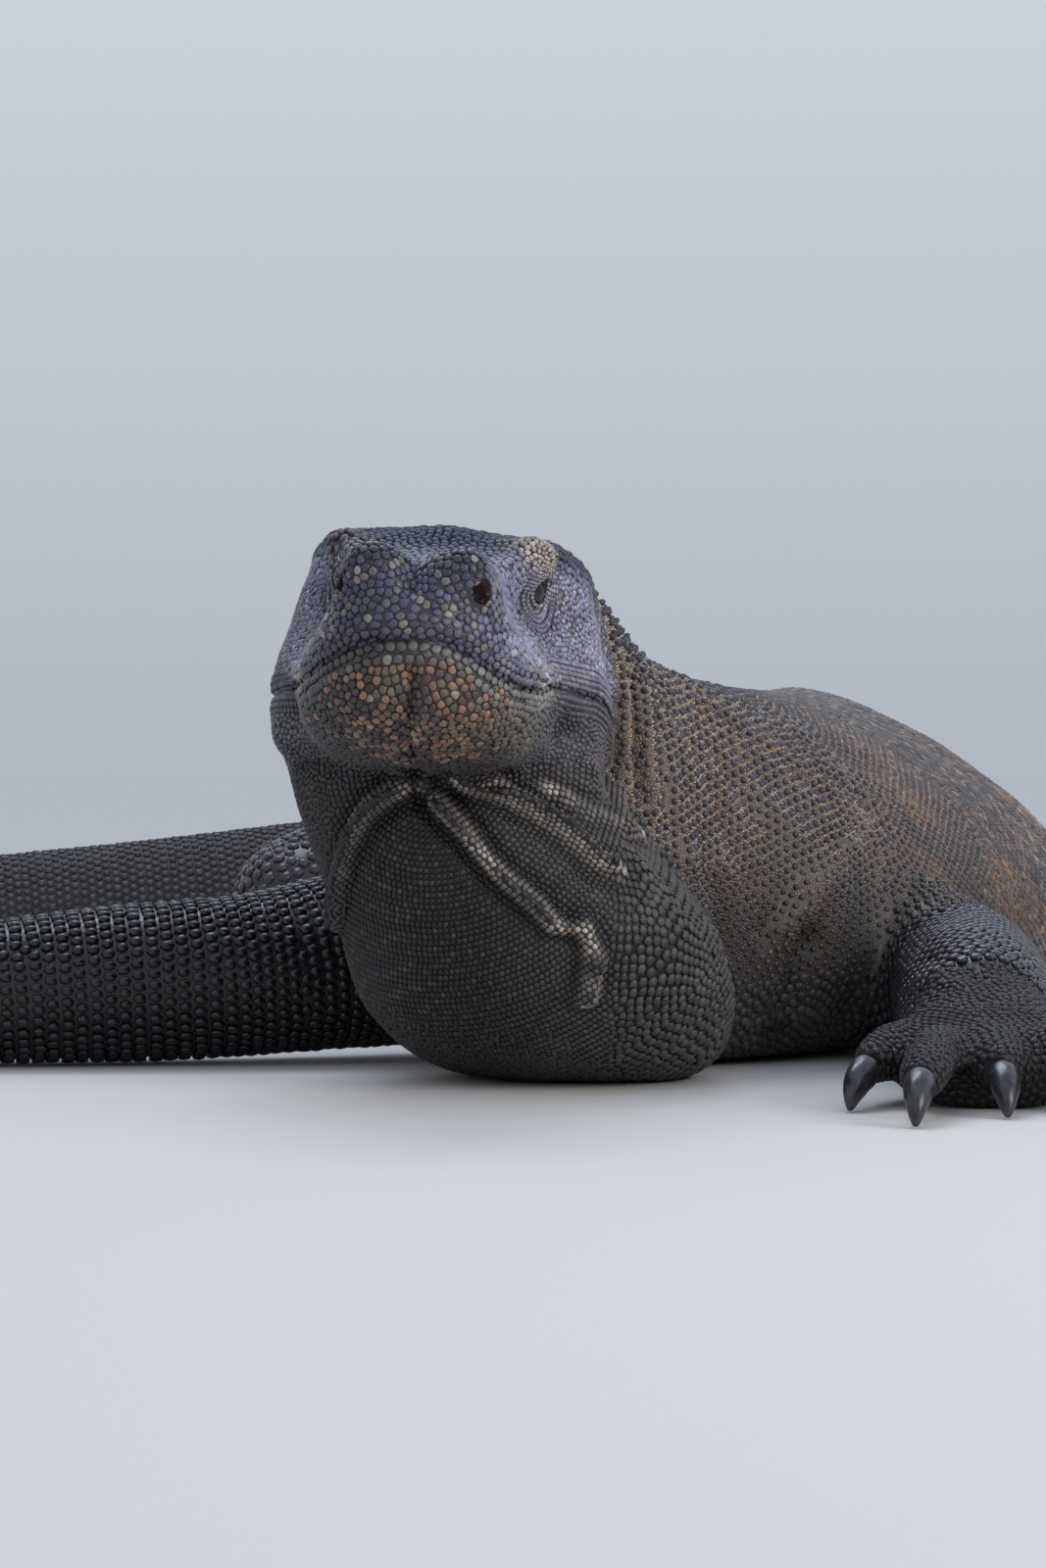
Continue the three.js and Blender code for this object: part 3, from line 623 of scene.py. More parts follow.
# pleats and valleys at the side of the neck, grooves below the chin, folds of wrist and shoulder
PLEATS = chains([
    (50, 36, (1037, -5004, 1870), (1050, -5011, 1690), (1050, -5021, 1520), (1055, -5011, 1340),
     (1023, -5574, 1130)),
    (50, 30, (1153, -4813, 1830), (1159, -4910, 1650), (1168, -4921, 1470), (1172, -4931, 1260)),
    (36, -46, (1001, -5036, 1780), (1005, -5053, 1610), (1005, -5047, 1430), (988, -5431, 1260)),
    (40, -34, (1101, -4934, 1830), (1104, -4963, 1650), (1108, -4980, 1450), (1109, -4966, 1210)),
    (50, -30, (1228, -4586, 1790), (1234, -4800, 1610), (1245, -4854, 1390), (1244, -4880, 1160)),
    (24, -40, (78, -6298, 1418), (110, -5994, 1359)),
    (24, -46, (156, -6296, 1418), (148, -5996, 1368)),
    (24, -40, (250, -6325, 1410), (294, -6027, 1343)),
    (32, -20, (2363, -4999, 549), (2451, -5381, 585), (2553, -5541, 542), (2611, -5743, 480)),
    (34, 18, (2317, -5245, 474), (2413, -5573, 501), (2518, -5787, 461)),
    (70, -75, (1986, -4078, 676), (1920, -4097, 505), (1830, -4053, 271), (1772, -3857, 72)),
    (75, 55, (2245, -3590, 1178), (2098, -3891, 1019), (1963, -4079, 851), (1850, -4174, 693),
     (1755, -4220, 548)),
    (60, -45, (2160, -3693, 1180), (1880, -4140, 853), (1678, -4274, 551)),
])
# place, size and height of each knot
KNOTS = tenths([(864, -5960, 734, 62, 66), (904, -5884, 584, 62, 66), (865, -5799, 437, 64, 60),
                (1351, -4766, 1010, 90, 50), (1511, -4496, 960, 80, 55), (1120, -5607, 979, 80, 26),
                (1006, -5777, 983, 70, 22), (1172, -4931, 1262, 80, 50)])
PLEAT_STEP, PLEAT_HEIGHT = 0.0175, 0.0019
COAT_DEPTH = 0.0009
LOWEST = 0.0006
points, normals = read_points(skin), read_normals(skin)
rise = np.zeros(len(points))
lumps = np.sin(points @ np.array((900.0, 300.0, 700.0)))
lumps *= np.sin(points @ np.array((-500.0, 400.0, 1100.0)))
for chain, width, height in ROPES:
    rise += ridge(points, chain, width, height, 0.08) * (1 + 0.16 * lumps)
    gap, along = near_chain(points, chain)
    rise -= 0.42 * height * (1 - 0.7 * along) * bell(gap, 2.3 * width, width)
for chain, width, height in PLEATS:
    rise += ridge(points, chain, width, height)
for knot in KNOTS:
    rise += swell(points, knot[:3], knot[3], knot[4])
behind = points[:, 1] - 0.35 * points[:, 0] - (HEAD_ORIGIN[1] + 0.015)
pleated = soft_step(0.0, 0.03, behind) * soft_fall(0.10, 0.20, behind)
pleated = pleated * soft_step(0.085, 0.120, points[:, 2]) * soft_step(0.045, 0.075, points[:, 0])
rise += PLEAT_HEIGHT * np.cos(2 * np.pi * (behind + 0.10 * points[:, 2]) / PLEAT_STEP) * pleated
points = points + normals * rise[:, None] - normals * COAT_DEPTH
points[:, 2] = np.maximum(points[:, 2], LOWEST)
write_points(skin, points)
apply(skin, "SMOOTH", "settle", factor=0.35, iterations=1)
skin.data.shade_smooth()
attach(skin, "root")
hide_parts(*flesh)
print("skin:", len(skin.data.polygons), "triangles")

# %% [markdown]
# Scales cover all of the skin, small and flat on the face, beaded on the neck,
# long and glossy in rings round the forelegs, keeled on the trunk and tail. They
# lie in rows across the body, so each length of the body gets a middle line, and
# rows are struck round it like hoops. The lines are in millimetres.

# %% Middle lines of the body, tail and legs
ROW_FRAME = np.array((0.059503, -0.505361, 0.0))
SPINE = [(-12, 20, 120), (-3, 62, 112), (28, 125, 96), (76, 200, 84), (118, 310, 80), (148, 450, 80),
         (160, 600, 80), (146, 750, 78), (114, 880, 74), (76, 978, 68), (30, 1068, 62)]
TAIL_LENGTH, TAIL_STEPS, TAIL_HEADING = 1330, 24, 117.1
# the tail's two bends: degrees, and from where to where along it
TAIL_BENDS = ((76, 0, 270), (96, 420, 940))
LEGS = {
    "foreleg_left": [(84, 238, 64), (134, 222, 60), (182, 184, 46), (212, 134, 37), (209, 76, 35),
                     (204, 16, 34), (200, -42, 29), (199, -75, 24)],
    "foreleg_right": [(10, 196, 58), (-58, 164, 52), (-112, 142, 44), (-152, 132, 40), (-206, 124, 37),
                      (-262, 114, 33), (-316, 104, 28), (-350, 98, 24)],
    "hindleg_left": [(96, 966, 74), (168, 926, 72), (238, 870, 60), (282, 838, 48), (294, 886, 38),
                     (304, 924, 34), (304, 958, 31)],
    "hindleg_right": [(50, 946, 74), (-26, 902, 73), (-96, 836, 64), (-140, 795, 54), (-150, 848, 38),
                      (-162, 890, 34), (-164, 926, 31)],
}


def tail_line():
    """The middle of the tail: it turns to the right, then comes round to the front."""
    x, y, _ = SPINE[-1]
    line = [(x, y, 60)]
    step = TAIL_LENGTH / TAIL_STEPS
    for i in range(1, TAIL_STEPS + 1):
        bend = sum(angle * float(soft_step(low, high, (i - 0.5) * step)) for angle, low, high in TAIL_BENDS)
        heading = math.radians(TAIL_HEADING + bend)
        x += step * math.cos(heading)
        y += step * math.sin(heading)
        left = 1 - i / TAIL_STEPS
        line.append((x, y, 0.45 * (9 + 105 * left + 26 * left**6)))
    return line


def points_at(line, runs, want):
    """Points of a line at the wanted distances along it."""
    return np.stack([np.interp(want, runs, line[:, k]) for k in range(3)], axis=1)


def even_line(line, step):
    """Points every step along a chain, and the direction at each."""
    line = np.asarray(line, float)
    runs = run_along(line)
    made = points_at(line, runs, np.linspace(0, runs[-1], max(int(runs[-1] / step), 2)))
    ways = np.gradient(made, axis=0)
    for _ in range(6):
        ways[1:-1] = (ways[:-2] + 2 * ways[1:-1] + ways[2:]) / 4
    return made, ways / np.linalg.norm(ways, axis=1)[:, None]


def in_metres(line):
    return np.asarray(line, float) / 1000 + ROW_FRAME


LINES = {name: in_metres(line) for name, line in {"body": SPINE, "tail": tail_line(), **LEGS}.items()}

# %% [markdown]
# Every stretch of the body has its own kind of scale: how long it is along the
# body, how wide across it, how high, how flat on top, and how keeled. These are
# looked up by the solid that a scale lies nearest to.

# %% Kinds of scale
# solid: length, width and height in millimetres, flatness, keel, groove between rows
KINDS = {
    "head": (3.5, 3.4, 1.00, 0.55, 0.0, 0.0),
    "lower_jaw": (4.2, 3.4, 1.20, 0.45, 0.0, 0.0),
    "throat": (2.8, 2.7, 0.95, 0.30, 0.0, 0.0),
    "neck_front": (5.4, 5.0, 1.45, 0.15, 0.0, 0.0),
    "neck_rear": (5.6, 5.2, 1.35, 0.15, 0.0, 0.0),
    "chest": (5.2, 4.9, 1.20, 0.25, 0.2, 0.0),
    "trunk": (6.4, 5.8, 1.50, 0.30, 0.5, 0.0),
    "pelvis": (8.0, 7.4, 1.60, 0.30, 0.5, 0.0),
    "tail": (8.0, 7.0, 1.60, 0.30, 0.9, 0.3),
    "foreleg_left_upper": (6.2, 6.0, 1.90, 0.30, 0.2, 0.2),
    "foreleg_left_lower": (6.4, 6.0, 1.60, 0.60, 0.2, 0.8),
    "foreleg_left_foot": (3.6, 4.2, 1.00, 0.45, 0.0, 0.5),
    "foreleg_right_upper": (6.4, 5.4, 1.90, 0.40, 0.2, 0.3),
    "foreleg_right_lower": (8.0, 5.4, 2.30, 0.50, 0.2, 0.9),
    "foreleg_right_foot": (5.4, 6.4, 1.30, 0.45, 0.0, 0.3),
    "hindleg": (8.0, 8.0, 1.60, 0.40, 0.3, 0.3),
    "hindleg_foot": (7.0, 7.6, 1.30, 0.50, 0.0, 0.3),
}
FACE, NECK = ("head", "lower_jaw"), ("neck_front", "neck_rear")
FINE_BY_EYE = 0.52


def kind_of(name):
    if name.startswith("hindleg"):
        name = "hindleg_foot" if name.endswith("foot") else "hindleg"
    return KINDS.get(name, KINDS["tail"])


kind_table = np.array([kind_of(n) for n in flesh], float)
skin_tree = BVHTree.FromObject(skin, bpy.context.evaluated_depsgraph_get())


def scale_sizes(points, owner):
    """Length and width of the scales at these points, in metres."""
    sizes = kind_table[owner][:, :2] / 1000
    is_tail = solids_where(lambda n: n.startswith("tail"), owner)
    if is_tail.any():
        _, along = near_chain(points[is_tail], LINES["tail"])
        sizes[is_tail] *= (1 - 0.50 * along)[:, None]
    at = to_head(points)
    share = 1 + 0.34 * soft_fall(-0.146, -0.120, at[:, 1])
    share -= 0.32 * soft_step(-0.085, -0.055, at[:, 1])
    for side in (1, -1):
        share -= 0.30 * swell(at, (0.018 * side, -0.148, 0.031), (0.012, 0.014, 0.009))
    share += 0.30 * soft_step(0.044, 0.054, at[:, 2])
    share -= 0.50 * swell(at, (0.047, -0.060, 0.053), (0.014, 0.018, 0.012))
    for side in (1, -1):
        by_eye = soft_step(0.014, 0.030, distance(at, EYES[side][0]))
        share = np.minimum(share, FINE_BY_EYE + (1 - FINE_BY_EYE) * by_eye)
    low_neck = 0.84 + 0.16 * soft_step(0.055, 0.110, points[:, 2])
    low_side = soft_step(0.088, 0.115, points[:, 0]) * soft_fall(0.100, 0.125, points[:, 2])
    for here, factor in ((FACE, share), (NECK, low_neck), (("throat",), 1 + 0.70 * low_side)):
        chosen = solids_where(lambda n: n in here, owner)
        sizes[chosen] *= factor[chosen][:, None]
    return sizes


print("kinds of scale", len(KINDS))

# %% [markdown]
# A hoop of rays from the middle line finds the skin all round. Scales are set
# along the hoop at even spacing, each row half a scale on from the one before,
# as they grow. Where legs join the body or the head turns, the hoops leave bare
# skin, and single scales are strewn there wherever there is room.

# %% Strike the rows
HOOP_RAYS, FEWEST_HITS = 120, 8
BODY = ("neck_front", "neck_rear", "chest", "trunk", "pelvis")
HOOP_REACH, TOE_REACH = 0.4, 0.024
TOE_HEIGHT = 0.020
ROW_OVERLAP, USUAL_LENGTH = 0.88, 0.006
FINE_STEP = 0.001


def skin_hit(start, way, reach):
    """Where a ray meets the skin, or None."""
    place = skin_tree.ray_cast(Vector(start), Vector(way), reach)[0]
    return None if place is None else np.array(place)


def skin_hits(rays, reach):
    """Where these rays, each a start and a direction, meet the skin, if they do."""
    hits = [skin_hit(start, way, reach) for start, way in rays]
    return np.array([hit for hit in hits if hit is not None])


def hoop(centre, way, reach):
    """Where the skin lies all round a point of a middle line."""
    side = np.cross(way, (0, 0, 1.0))
    side /= np.linalg.norm(side)
    up = np.cross(side, way)
    angles = [2 * math.pi * k / HOOP_RAYS for k in range(HOOP_RAYS)]
    return skin_hits([(centre, side * math.cos(a) + up * math.sin(a)) for a in angles], reach)


def along_hoop(found, spacing, shift):
    """Even steps along the hoop's surface line."""
    if len(found) < FEWEST_HITS:
        return np.zeros((0, 3))
    ring = np.concatenate([found, found[:1]])
    runs = run_along(ring)
    count = max(int(runs[-1] / spacing), 5)
    return points_at(ring, runs, (np.arange(count) + shift) / count * runs[-1])


def on_skin_only(points, wanted):
    """The points that lie on the skin of the wanted solids."""
    gaps = np.array([skin_tree.find_nearest(Vector(p))[3] for p in points])
    points = points[gaps < 0.0015]
    return points[wanted[nearest_solid(points)]] if len(points) else points


def row_solids(name):
    """Which solids the rows round this line may cover."""
    if name.endswith("foot"):
        return np.array([n == name for n in flesh])
    return np.array([n in BODY if name == "body" else n.startswith(name) and "foot" not in n for n in flesh])


claw_roots = {}
for n in nodes:
    if "_claw_" in n:
        low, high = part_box(n)
        foot = n.rsplit("_", 2)[0] + "_foot"
        claw_roots.setdefault(foot, []).append(np.array((low + high) / 2))
jobs = [(name, line, HOOP_REACH) for name, line in LINES.items()]
for foot, claws in claw_roots.items():
    wrist = LINES[foot.rsplit("_", 1)[0]][-1]
    for claw in claws:
        start, end = wrist * 0.75 + claw * 0.25, claw.copy()
        start[2] = end[2] = TOE_HEIGHT
        jobs.append((foot, [start, end], TOE_REACH))
seeds, counts = [], {}
for name, line, reach in jobs:
    wanted = row_solids(name)
    dense_line, dense_ways = even_line(line, FINE_STEP)
    run, row = 0, 0
    while run < len(dense_line):
        found = hoop(dense_line[run], dense_ways[run], reach)
        ring = along_hoop(found, USUAL_LENGTH, 0)
        length = USUAL_LENGTH
        owner = nearest_solid(ring) if len(ring) else np.zeros(0, int)
        keep = wanted[owner]
        if keep.any():
            length, width = np.median(scale_sizes(ring[keep], owner[keep]), axis=0)
            ring = on_skin_only(along_hoop(found, width, 0.5 * (row % 2)), wanted)
            seeds.append(ring + rng.normal(size=ring.shape) * 0.05 * width)
            counts[name] = counts.get(name, 0) + len(ring)
        run += max(int(round(length * ROW_OVERLAP / FINE_STEP)), 2)
        row += 1
seeds = np.concatenate(seeds)
print("scales in rows", counts)

# %% [markdown]
# The lips have their own rows: two above the mouth and two below, of plates
# that follow its line round the snout. On the cheek fine rows run on beside it,
# and round each eye and nostril small beads lie in rings.

# %% Rows along the lips, the cheek and the lids
LIP_ROWS = (0.0028, 0.0080, -0.0032, -0.0078)
CHEEK_ROWS = (0.0026, 0.0051, 0.0076, 0.0100, 0.0125, -0.0030, -0.0057, -0.0084)
LIP_SPACING, CHEEK_SPACING, LID_SPACING, NOSTRIL_SPACING = 0.0046, 0.0023, 0.0019, 0.0024
LID_ROWS, WHOLE_LID_ROWS, LID_ROW_STEP = 6, 2, 0.0021
NOSTRIL_ROWS = (0.0053, 0.0076)


def head_ray(start, way):
    """A ray of the head's axes, in the row frame."""
    return from_head(start), HEAD_TURN @ way


def mouth_trail(rise_by, steps):
    """Points of the skin at this height above the mouth, from cheek to cheek round the snout."""
    trail = []
    for step in steps:
        swing = min(abs(step) * 2, 1) * math.pi / 2 * np.sign(step)
        ray = np.array((math.sin(swing), -math.cos(swing), 0.0))
        start = np.array((0.0, -0.118 + max(abs(step) - 0.5, 0) * 0.25, 0.0))
        here = start + ray * 0.04
        for _ in range(3):
            start[2] = mouth_level(here[None])[0] + rise_by
            hit = skin_hit(*head_ray(start, ray), 0.2)
            if hit is None:
                break
            here = to_head(hit)
        if hit is not None:
            trail.append(hit)
    return np.array(trail)


def oval(centre, level, upright, way, angles):
    """Points of the skin round an oval that is seen along a direction."""
    starts = [centre + level * math.cos(a) + upright * math.sin(a) for a in angles]
    return skin_hits([head_ray(start, way) for start in starts], 0.03)


def spaced(trail, spacing, row=0):
    """Points along a trail at even steps, half a step on in every other row."""
    runs = run_along(trail)
    return points_at(trail, runs, np.arange(0.5 * (row % 2) * spacing, runs[-1], spacing))


lip_seeds = [spaced(mouth_trail(rise_by, np.linspace(-0.72, 0.72, 131)), LIP_SPACING, row)
             for row, rise_by in enumerate(LIP_ROWS)]
for row, rise_by in enumerate(CHEEK_ROWS):
    for side in (1, -1):
        trail = mouth_trail(rise_by, side * np.linspace(0.74, 1.14, 60))
        lip_seeds.append(spaced(trail, CHEEK_SPACING, row))
for ball, across, up, looks in EYES.values():
    for row in range(LID_ROWS):
        wide, tall = (size * 1.30 + row * LID_ROW_STEP for size in (EYE_OPEN_LONG, EYE_OPEN_HIGH))
        whole = row < WHOLE_LID_ROWS
        turn = np.linspace(0, 2 * math.pi, 90) if whole else np.linspace(-1.12, 0.12, 60) * math.pi
        trail = oval(ball + looks * 0.022, across * wide, up * tall, -looks, turn)
        lip_seeds.append(spaced(trail, LID_SPACING, row))
for place in NOSTRILS:
    inward = inward_of(place)
    level = np.cross(inward, (0, 0, 1.0))
    level /= np.linalg.norm(level)
    for radius in NOSTRIL_ROWS:
        upright = 0.85 * radius * np.cross(level, inward)
        trail = oval(place - inward * 0.012, radius * level, upright, inward, np.linspace(0, 2 * math.pi, 40))
        lip_seeds.append(spaced(trail, NOSTRIL_SPACING))
lip_seeds = np.concatenate(lip_seeds)
print("scales of lips, cheeks, lids and nostrils", len(lip_seeds))

# %% [markdown]
# On the throat the small beads run in arcs that widen from the chin downwards.
# Rays from in front find the skin along each arc.

# %% Arcs on the throat
THROAT_TOP = np.array((0.020, -0.80, 0.142))
ARC_STEP, ARC_COUNT, ARC_SPACING = 0.0026, 72, 0.0027
arcs = []
for row in range(2, ARC_COUNT):
    turns = [np.array((math.sin(a), 0, -math.cos(a))) for a in np.linspace(-1.8, 1.8, 140)]
    rays = [(THROAT_TOP + row * ARC_STEP * turn, (0, 1, 0)) for turn in turns]
    arcs.append(spaced(skin_hits(rays, 0.5), ARC_SPACING, row))
arcs = np.concatenate(arcs)
off_skin = np.array([skin_tree.find_nearest(Vector(p))[3] for p in arcs])
arcs = arcs[(off_skin < 0.0006) & (nearest_solid(arcs) == flesh.index("throat"))]
seeds = np.concatenate([seeds, arcs])
print("arcs", len(arcs), "beads")

# %% [markdown]
# Strewing works in rounds. Many points are dropped on the skin, more where the
# scales are small, and a point stays only if it is clear of every scale that is
# already there.

# %% Strew scales where there is room
CLEAR, ROUNDS, STREWN = 0.80, 7, 42000
GRID_CELL = 0.004
tri_index = np.array([list(p.vertices) for p in skin.data.polygons])
skin_points = read_points(skin)
corners = skin_points[tri_index]
sides = corners[:, 1] - corners[:, 0], corners[:, 2] - corners[:, 0]
tri_area = np.linalg.norm(np.cross(*sides), axis=1) / 2
tri_middle = corners.mean(axis=1)
tri_weight = tri_area / scale_sizes(tri_middle, nearest_solid(tri_middle)).prod(axis=1)


def bare_here(points):
    """True where no scale may sit: in the mouth, the nostrils, the eyes, and under the belly."""
    at = to_head(points)
    in_mouth = (np.abs(at[:, 2] - mouth_level(at)) < 0.0010) & (np.abs(at[:, 0]) < 0.09)
    bare = (points[:, 2] < 0.0012) | (at[:, 1] < 0.030) & in_mouth
    for side in (1, -1):
        edge, away, _ = almond(at, side)
        bare |= (edge < 1.12) & (np.linalg.norm(away, axis=1) < 0.014)
    for place in NOSTRILS:
        bare |= distance(at, place) < NOSTRIL_RADIUS * 1.30
    return bare


def point_tree(points):
    """A search tree over these points."""
    tree = KDTree(len(points))
    for i, p in enumerate(points):
        tree.insert(p, i)
    tree.balance()
    return tree


def thin_out(points, sizes, fixed):
    """Keeps the points, in order, that are clear of the fixed ones and of each other."""
    free = np.ones(len(points), bool)
    if len(fixed):
        tree = point_tree(fixed)
        free = np.array([tree.find(p)[2] for p in points]) > CLEAR * sizes
    kept, grid, places = [], {}, points.tolist()
    for i in np.where(free)[0]:
        (x, y, z), need = places[i], CLEAR * sizes[i]
        a, b, c = int(x // GRID_CELL), int(y // GRID_CELL), int(z // GRID_CELL)
        span = int(need // GRID_CELL) + 1
        span = range(-span, span + 1)
        cells = (grid.get((a + da, b + db, c + dc), ()) for da in span for db in span for dc in span)
        others = (other for cell in cells for other in cell)
        if all((x - u) ** 2 + (y - v) ** 2 + (z - w) ** 2 >= need * need for u, v, w in others):
            grid.setdefault((a, b, c), []).append(places[i])
            kept.append(i)
    return np.array(kept, int)


def smaller_size(points):
    return scale_sizes(points, nearest_solid(points)).min(axis=1)


lip_seeds = lip_seeds[~bare_here(lip_seeds)]
roots = lip_seeds = lip_seeds[thin_out(lip_seeds, smaller_size(lip_seeds) * 0.95, [])]
seeds = seeds[~bare_here(seeds)]
roots = np.concatenate([roots, seeds[thin_out(seeds, smaller_size(seeds), roots)]])
print("from rows", len(roots))
for turn in range(ROUNDS):
    picked = rng.choice(len(tri_weight), STREWN, p=tri_weight / tri_weight.sum())
    shares = rng.random((len(picked), 2))
    flip = shares.sum(axis=1) > 1
    shares[flip] = 1 - shares[flip]
    a, b, c = (corners[picked, k] for k in range(3))
    strewn = a + (b - a) * shares[:, :1] + (c - a) * shares[:, 1:]
    strewn = strewn[~bare_here(strewn)]
    kept = thin_out(strewn, smaller_size(strewn), roots)
    roots = np.concatenate([roots, strewn[kept]])
    print("round", turn, "adds", len(kept), "total", len(roots))

# %% [markdown]
# Each scale gets three directions: back along the body, across it, and out of
# the skin. On the feet "back" runs from each claw to the wrist.

# %% The lie of the scales
THROAT_WAY = np.array((0.30, 0.25, -0.92))
vertex_normals = read_normals(skin)


def skin_normals_at(points):
    """Points drawn onto the skin, with the smooth normal there."""
    hits = [skin_tree.find_nearest(Vector(p)) for p in points]
    normal = vertex_normals[tri_index[[hit[2] for hit in hits]]].mean(axis=1)
    return np.array([hit[0] for hit in hits]), normal / np.linalg.norm(normal, axis=1)[:, None]


def nearest_way(points, line):
    """The direction of a middle line at the place nearest to each point."""
    chain, ways = even_line(line, 0.002)
    tree = point_tree(chain)
    return ways[[tree.find(p)[1] for p in points]]


def lie_of(points, owner):
    """The way back along the body at each point."""
    ways = np.tile((0.0, 1.0, 0.0), (len(points), 1))
    for number, n in enumerate(flesh):
        here, limb = owner == number, n.rsplit("_", 1)[0]
        if not here.any():
            continue
        if n in FACE:
            ways[here] = HEAD_TURN @ (0, 1, 0)
        elif n == "throat":
            ways[here] = THROAT_WAY
        elif n.endswith("foot"):
            claws = np.array(claw_roots[n])
            gaps = np.linalg.norm(points[here][:, None] - claws[None], axis=2)
            ways[here] = LINES[limb][-1] - claws[gaps.argmin(axis=1)]
        else:
            ways[here] = nearest_way(points[here], LINES[limb if limb in LINES else "body"])
    return ways


def square_up(ways, normal):
    """Directions along and across, both square to the way out of the skin."""
    along = ways - (ways * normal).sum(axis=1)[:, None] * normal
    small = np.linalg.norm(along, axis=1) < 1e-3
    along[small] = np.cross(normal[small], (1.0, 0.2, 0.1))
    along /= np.linalg.norm(along, axis=1)[:, None]
    return along, np.cross(normal, along)


roots, out = skin_normals_at(roots)
owner = nearest_solid(roots)
sizes = scale_sizes(roots, owner)
print("scales", len(roots), "mean length", round(sizes[:, 0].mean() * 1000, 2), "mm")

# %% [markdown]
# Neighbours push each other apart a few times, which closes the seams between
# rows and strewn scales. Then every scale is given the outline of the room it
# has: in each of its directions it reaches half way to its neighbours, less a
# narrow gap.

# %% Settle the scales against their neighbours
NEIGHBOURS, PUSH_ROUNDS = 9, 4
PUSH_SHARE, MOST_MOVE = 0.30, 0.2


def neighbours_of(points):
    tree = point_tree(points)
    return np.array([[hit[1] for hit in tree.find_n(p, NEIGHBOURS + 1)][1:] for p in points])


def laid_out(points, owner, out, sizes):
    """Directions of the scales, and where their neighbours lie in lengths and widths."""
    along, across = square_up(lie_of(points, owner), out)
    away = points[neighbours_of(points)] - points[:, None]
    a = (away * along[:, None]).sum(axis=2) / sizes[:, :1]
    b = (away * across[:, None]).sum(axis=2) / sizes[:, 1:]
    return along, across, a, b


for turn in range(PUSH_ROUNDS):
    along, across, a, b = laid_out(roots, owner, out, sizes)
    gap = np.maximum(np.hypot(a, b), 1e-3)
    push = np.clip(1.0 - gap, 0, 1) * PUSH_SHARE
    for k, (way, part) in enumerate(((along, a), (across, b))):
        move = np.clip(-(part / gap * push).sum(axis=1), -MOST_MOVE, MOST_MOVE) * sizes[:, k]
        move[: len(lip_seeds)] = 0
        roots = roots + way * move[:, None]
    roots, out = skin_normals_at(roots)
good = ~bare_here(roots)
roots, out = roots[good], out[good]
owner = nearest_solid(roots)
sizes = scale_sizes(roots, owner)
along, across, a, b = laid_out(roots, owner, out, sizes)
nearest_gap = np.hypot(a, b).min(axis=1).mean()
print("settled", len(roots), "scales, mean gap to the nearest", round(float(nearest_gap), 3))

# %% [markdown]
# The animal's markings are worked out once, for any point of the skin, and used
# by skin and scales alike: a crown colour for the top of each scale, a ground
# colour for its rim and the skin between, and how rough the surface is. The
# colours also hold painted shade in creases, hollows, under the jaw and neck and
# on the side away from the light, and painted highlights and sheen on ridges and
# on the lit side.

# %% Markings
SLATE = (0.104, 0.102, 0.148)
VIOLET = (0.320, 0.312, 0.440)
CREAM = (0.280, 0.242, 0.178)
TAN = (0.200, 0.150, 0.110)
ORANGE = (0.300, 0.160, 0.080)
BLUE_BLACK = (0.0145, 0.0125, 0.019)
OLIVE = (0.052, 0.049, 0.046)
# near black: the hide's darkest colour, also used for painted shade in creases, troughs and hollows
NEAR_BLACK = (0.010, 0.009, 0.011)
GREY_BROWN = (0.088, 0.077, 0.080)
BARK = (0.056, 0.046, 0.041)
NAPE_TAN = (0.070, 0.052, 0.040)
# places on the head where single scales are cream, and how far that reaches
FLECKS = tenths([(162, -1602, 111, 42), (121, -1594, 220, 28), (175, -1578, 215, 30),
                 (228, -1550, 165, 30), (-32, -1635, 155, 34), (-46, -1555, 297, 26),
                 (-165, -1605, 78, 36), (-11, -1640, 39, 40), (-325, -1481, 52, 36),
                 (-150, -1580, 190, 28)])


def mix(base, colour, share):
    share = np.clip(share, 0, 1)[:, None]
    return base * (1 - share) + np.asarray(colour) * share


def cloud(points, size, seed):
    """Soft blotches between 0 and 1, of about this size."""
    turn = np.random.default_rng(seed).normal(size=(7, 3)) / size
    shift = np.random.default_rng(seed + 1).random(7) * 6.28
    waves = np.sin(points @ turn.T * 2.4 + shift)
    return np.clip(0.5 + waves.sum(axis=1) / 5.0, 0, 1)


def part_test(owner):
    """A test that is true for the points whose solid's name starts so."""
    return lambda *starts: solids_where(lambda n: n.startswith(starts), owner)


def ringed_here(points, owner):
    """1 where scales are ringed with small beads, on the neck and shoulders, fading to 0."""
    part = part_test(owner)
    from_nape = points[:, 1] - (HEAD_ORIGIN[1] + 0.03)
    ringed = part("neck", "chest", "trunk") * soft_step(0.022, 0.066, points[:, 2])
    upper_arm = part("foreleg_left_upper") * soft_step(0.030, 0.050, points[:, 2])
    return ringed * soft_fall(0.20, 0.38, from_nape + 0.05 * (cloud(points, 0.020, 41) - 0.5)) + upper_arm


def tail_share(points):
    """0 on the back, 1 where the colours of the tail begin."""
    return soft_step(0.46, 0.58, points[:, 1] + 0.06 * (cloud(points, 0.030, 51) - 0.5))


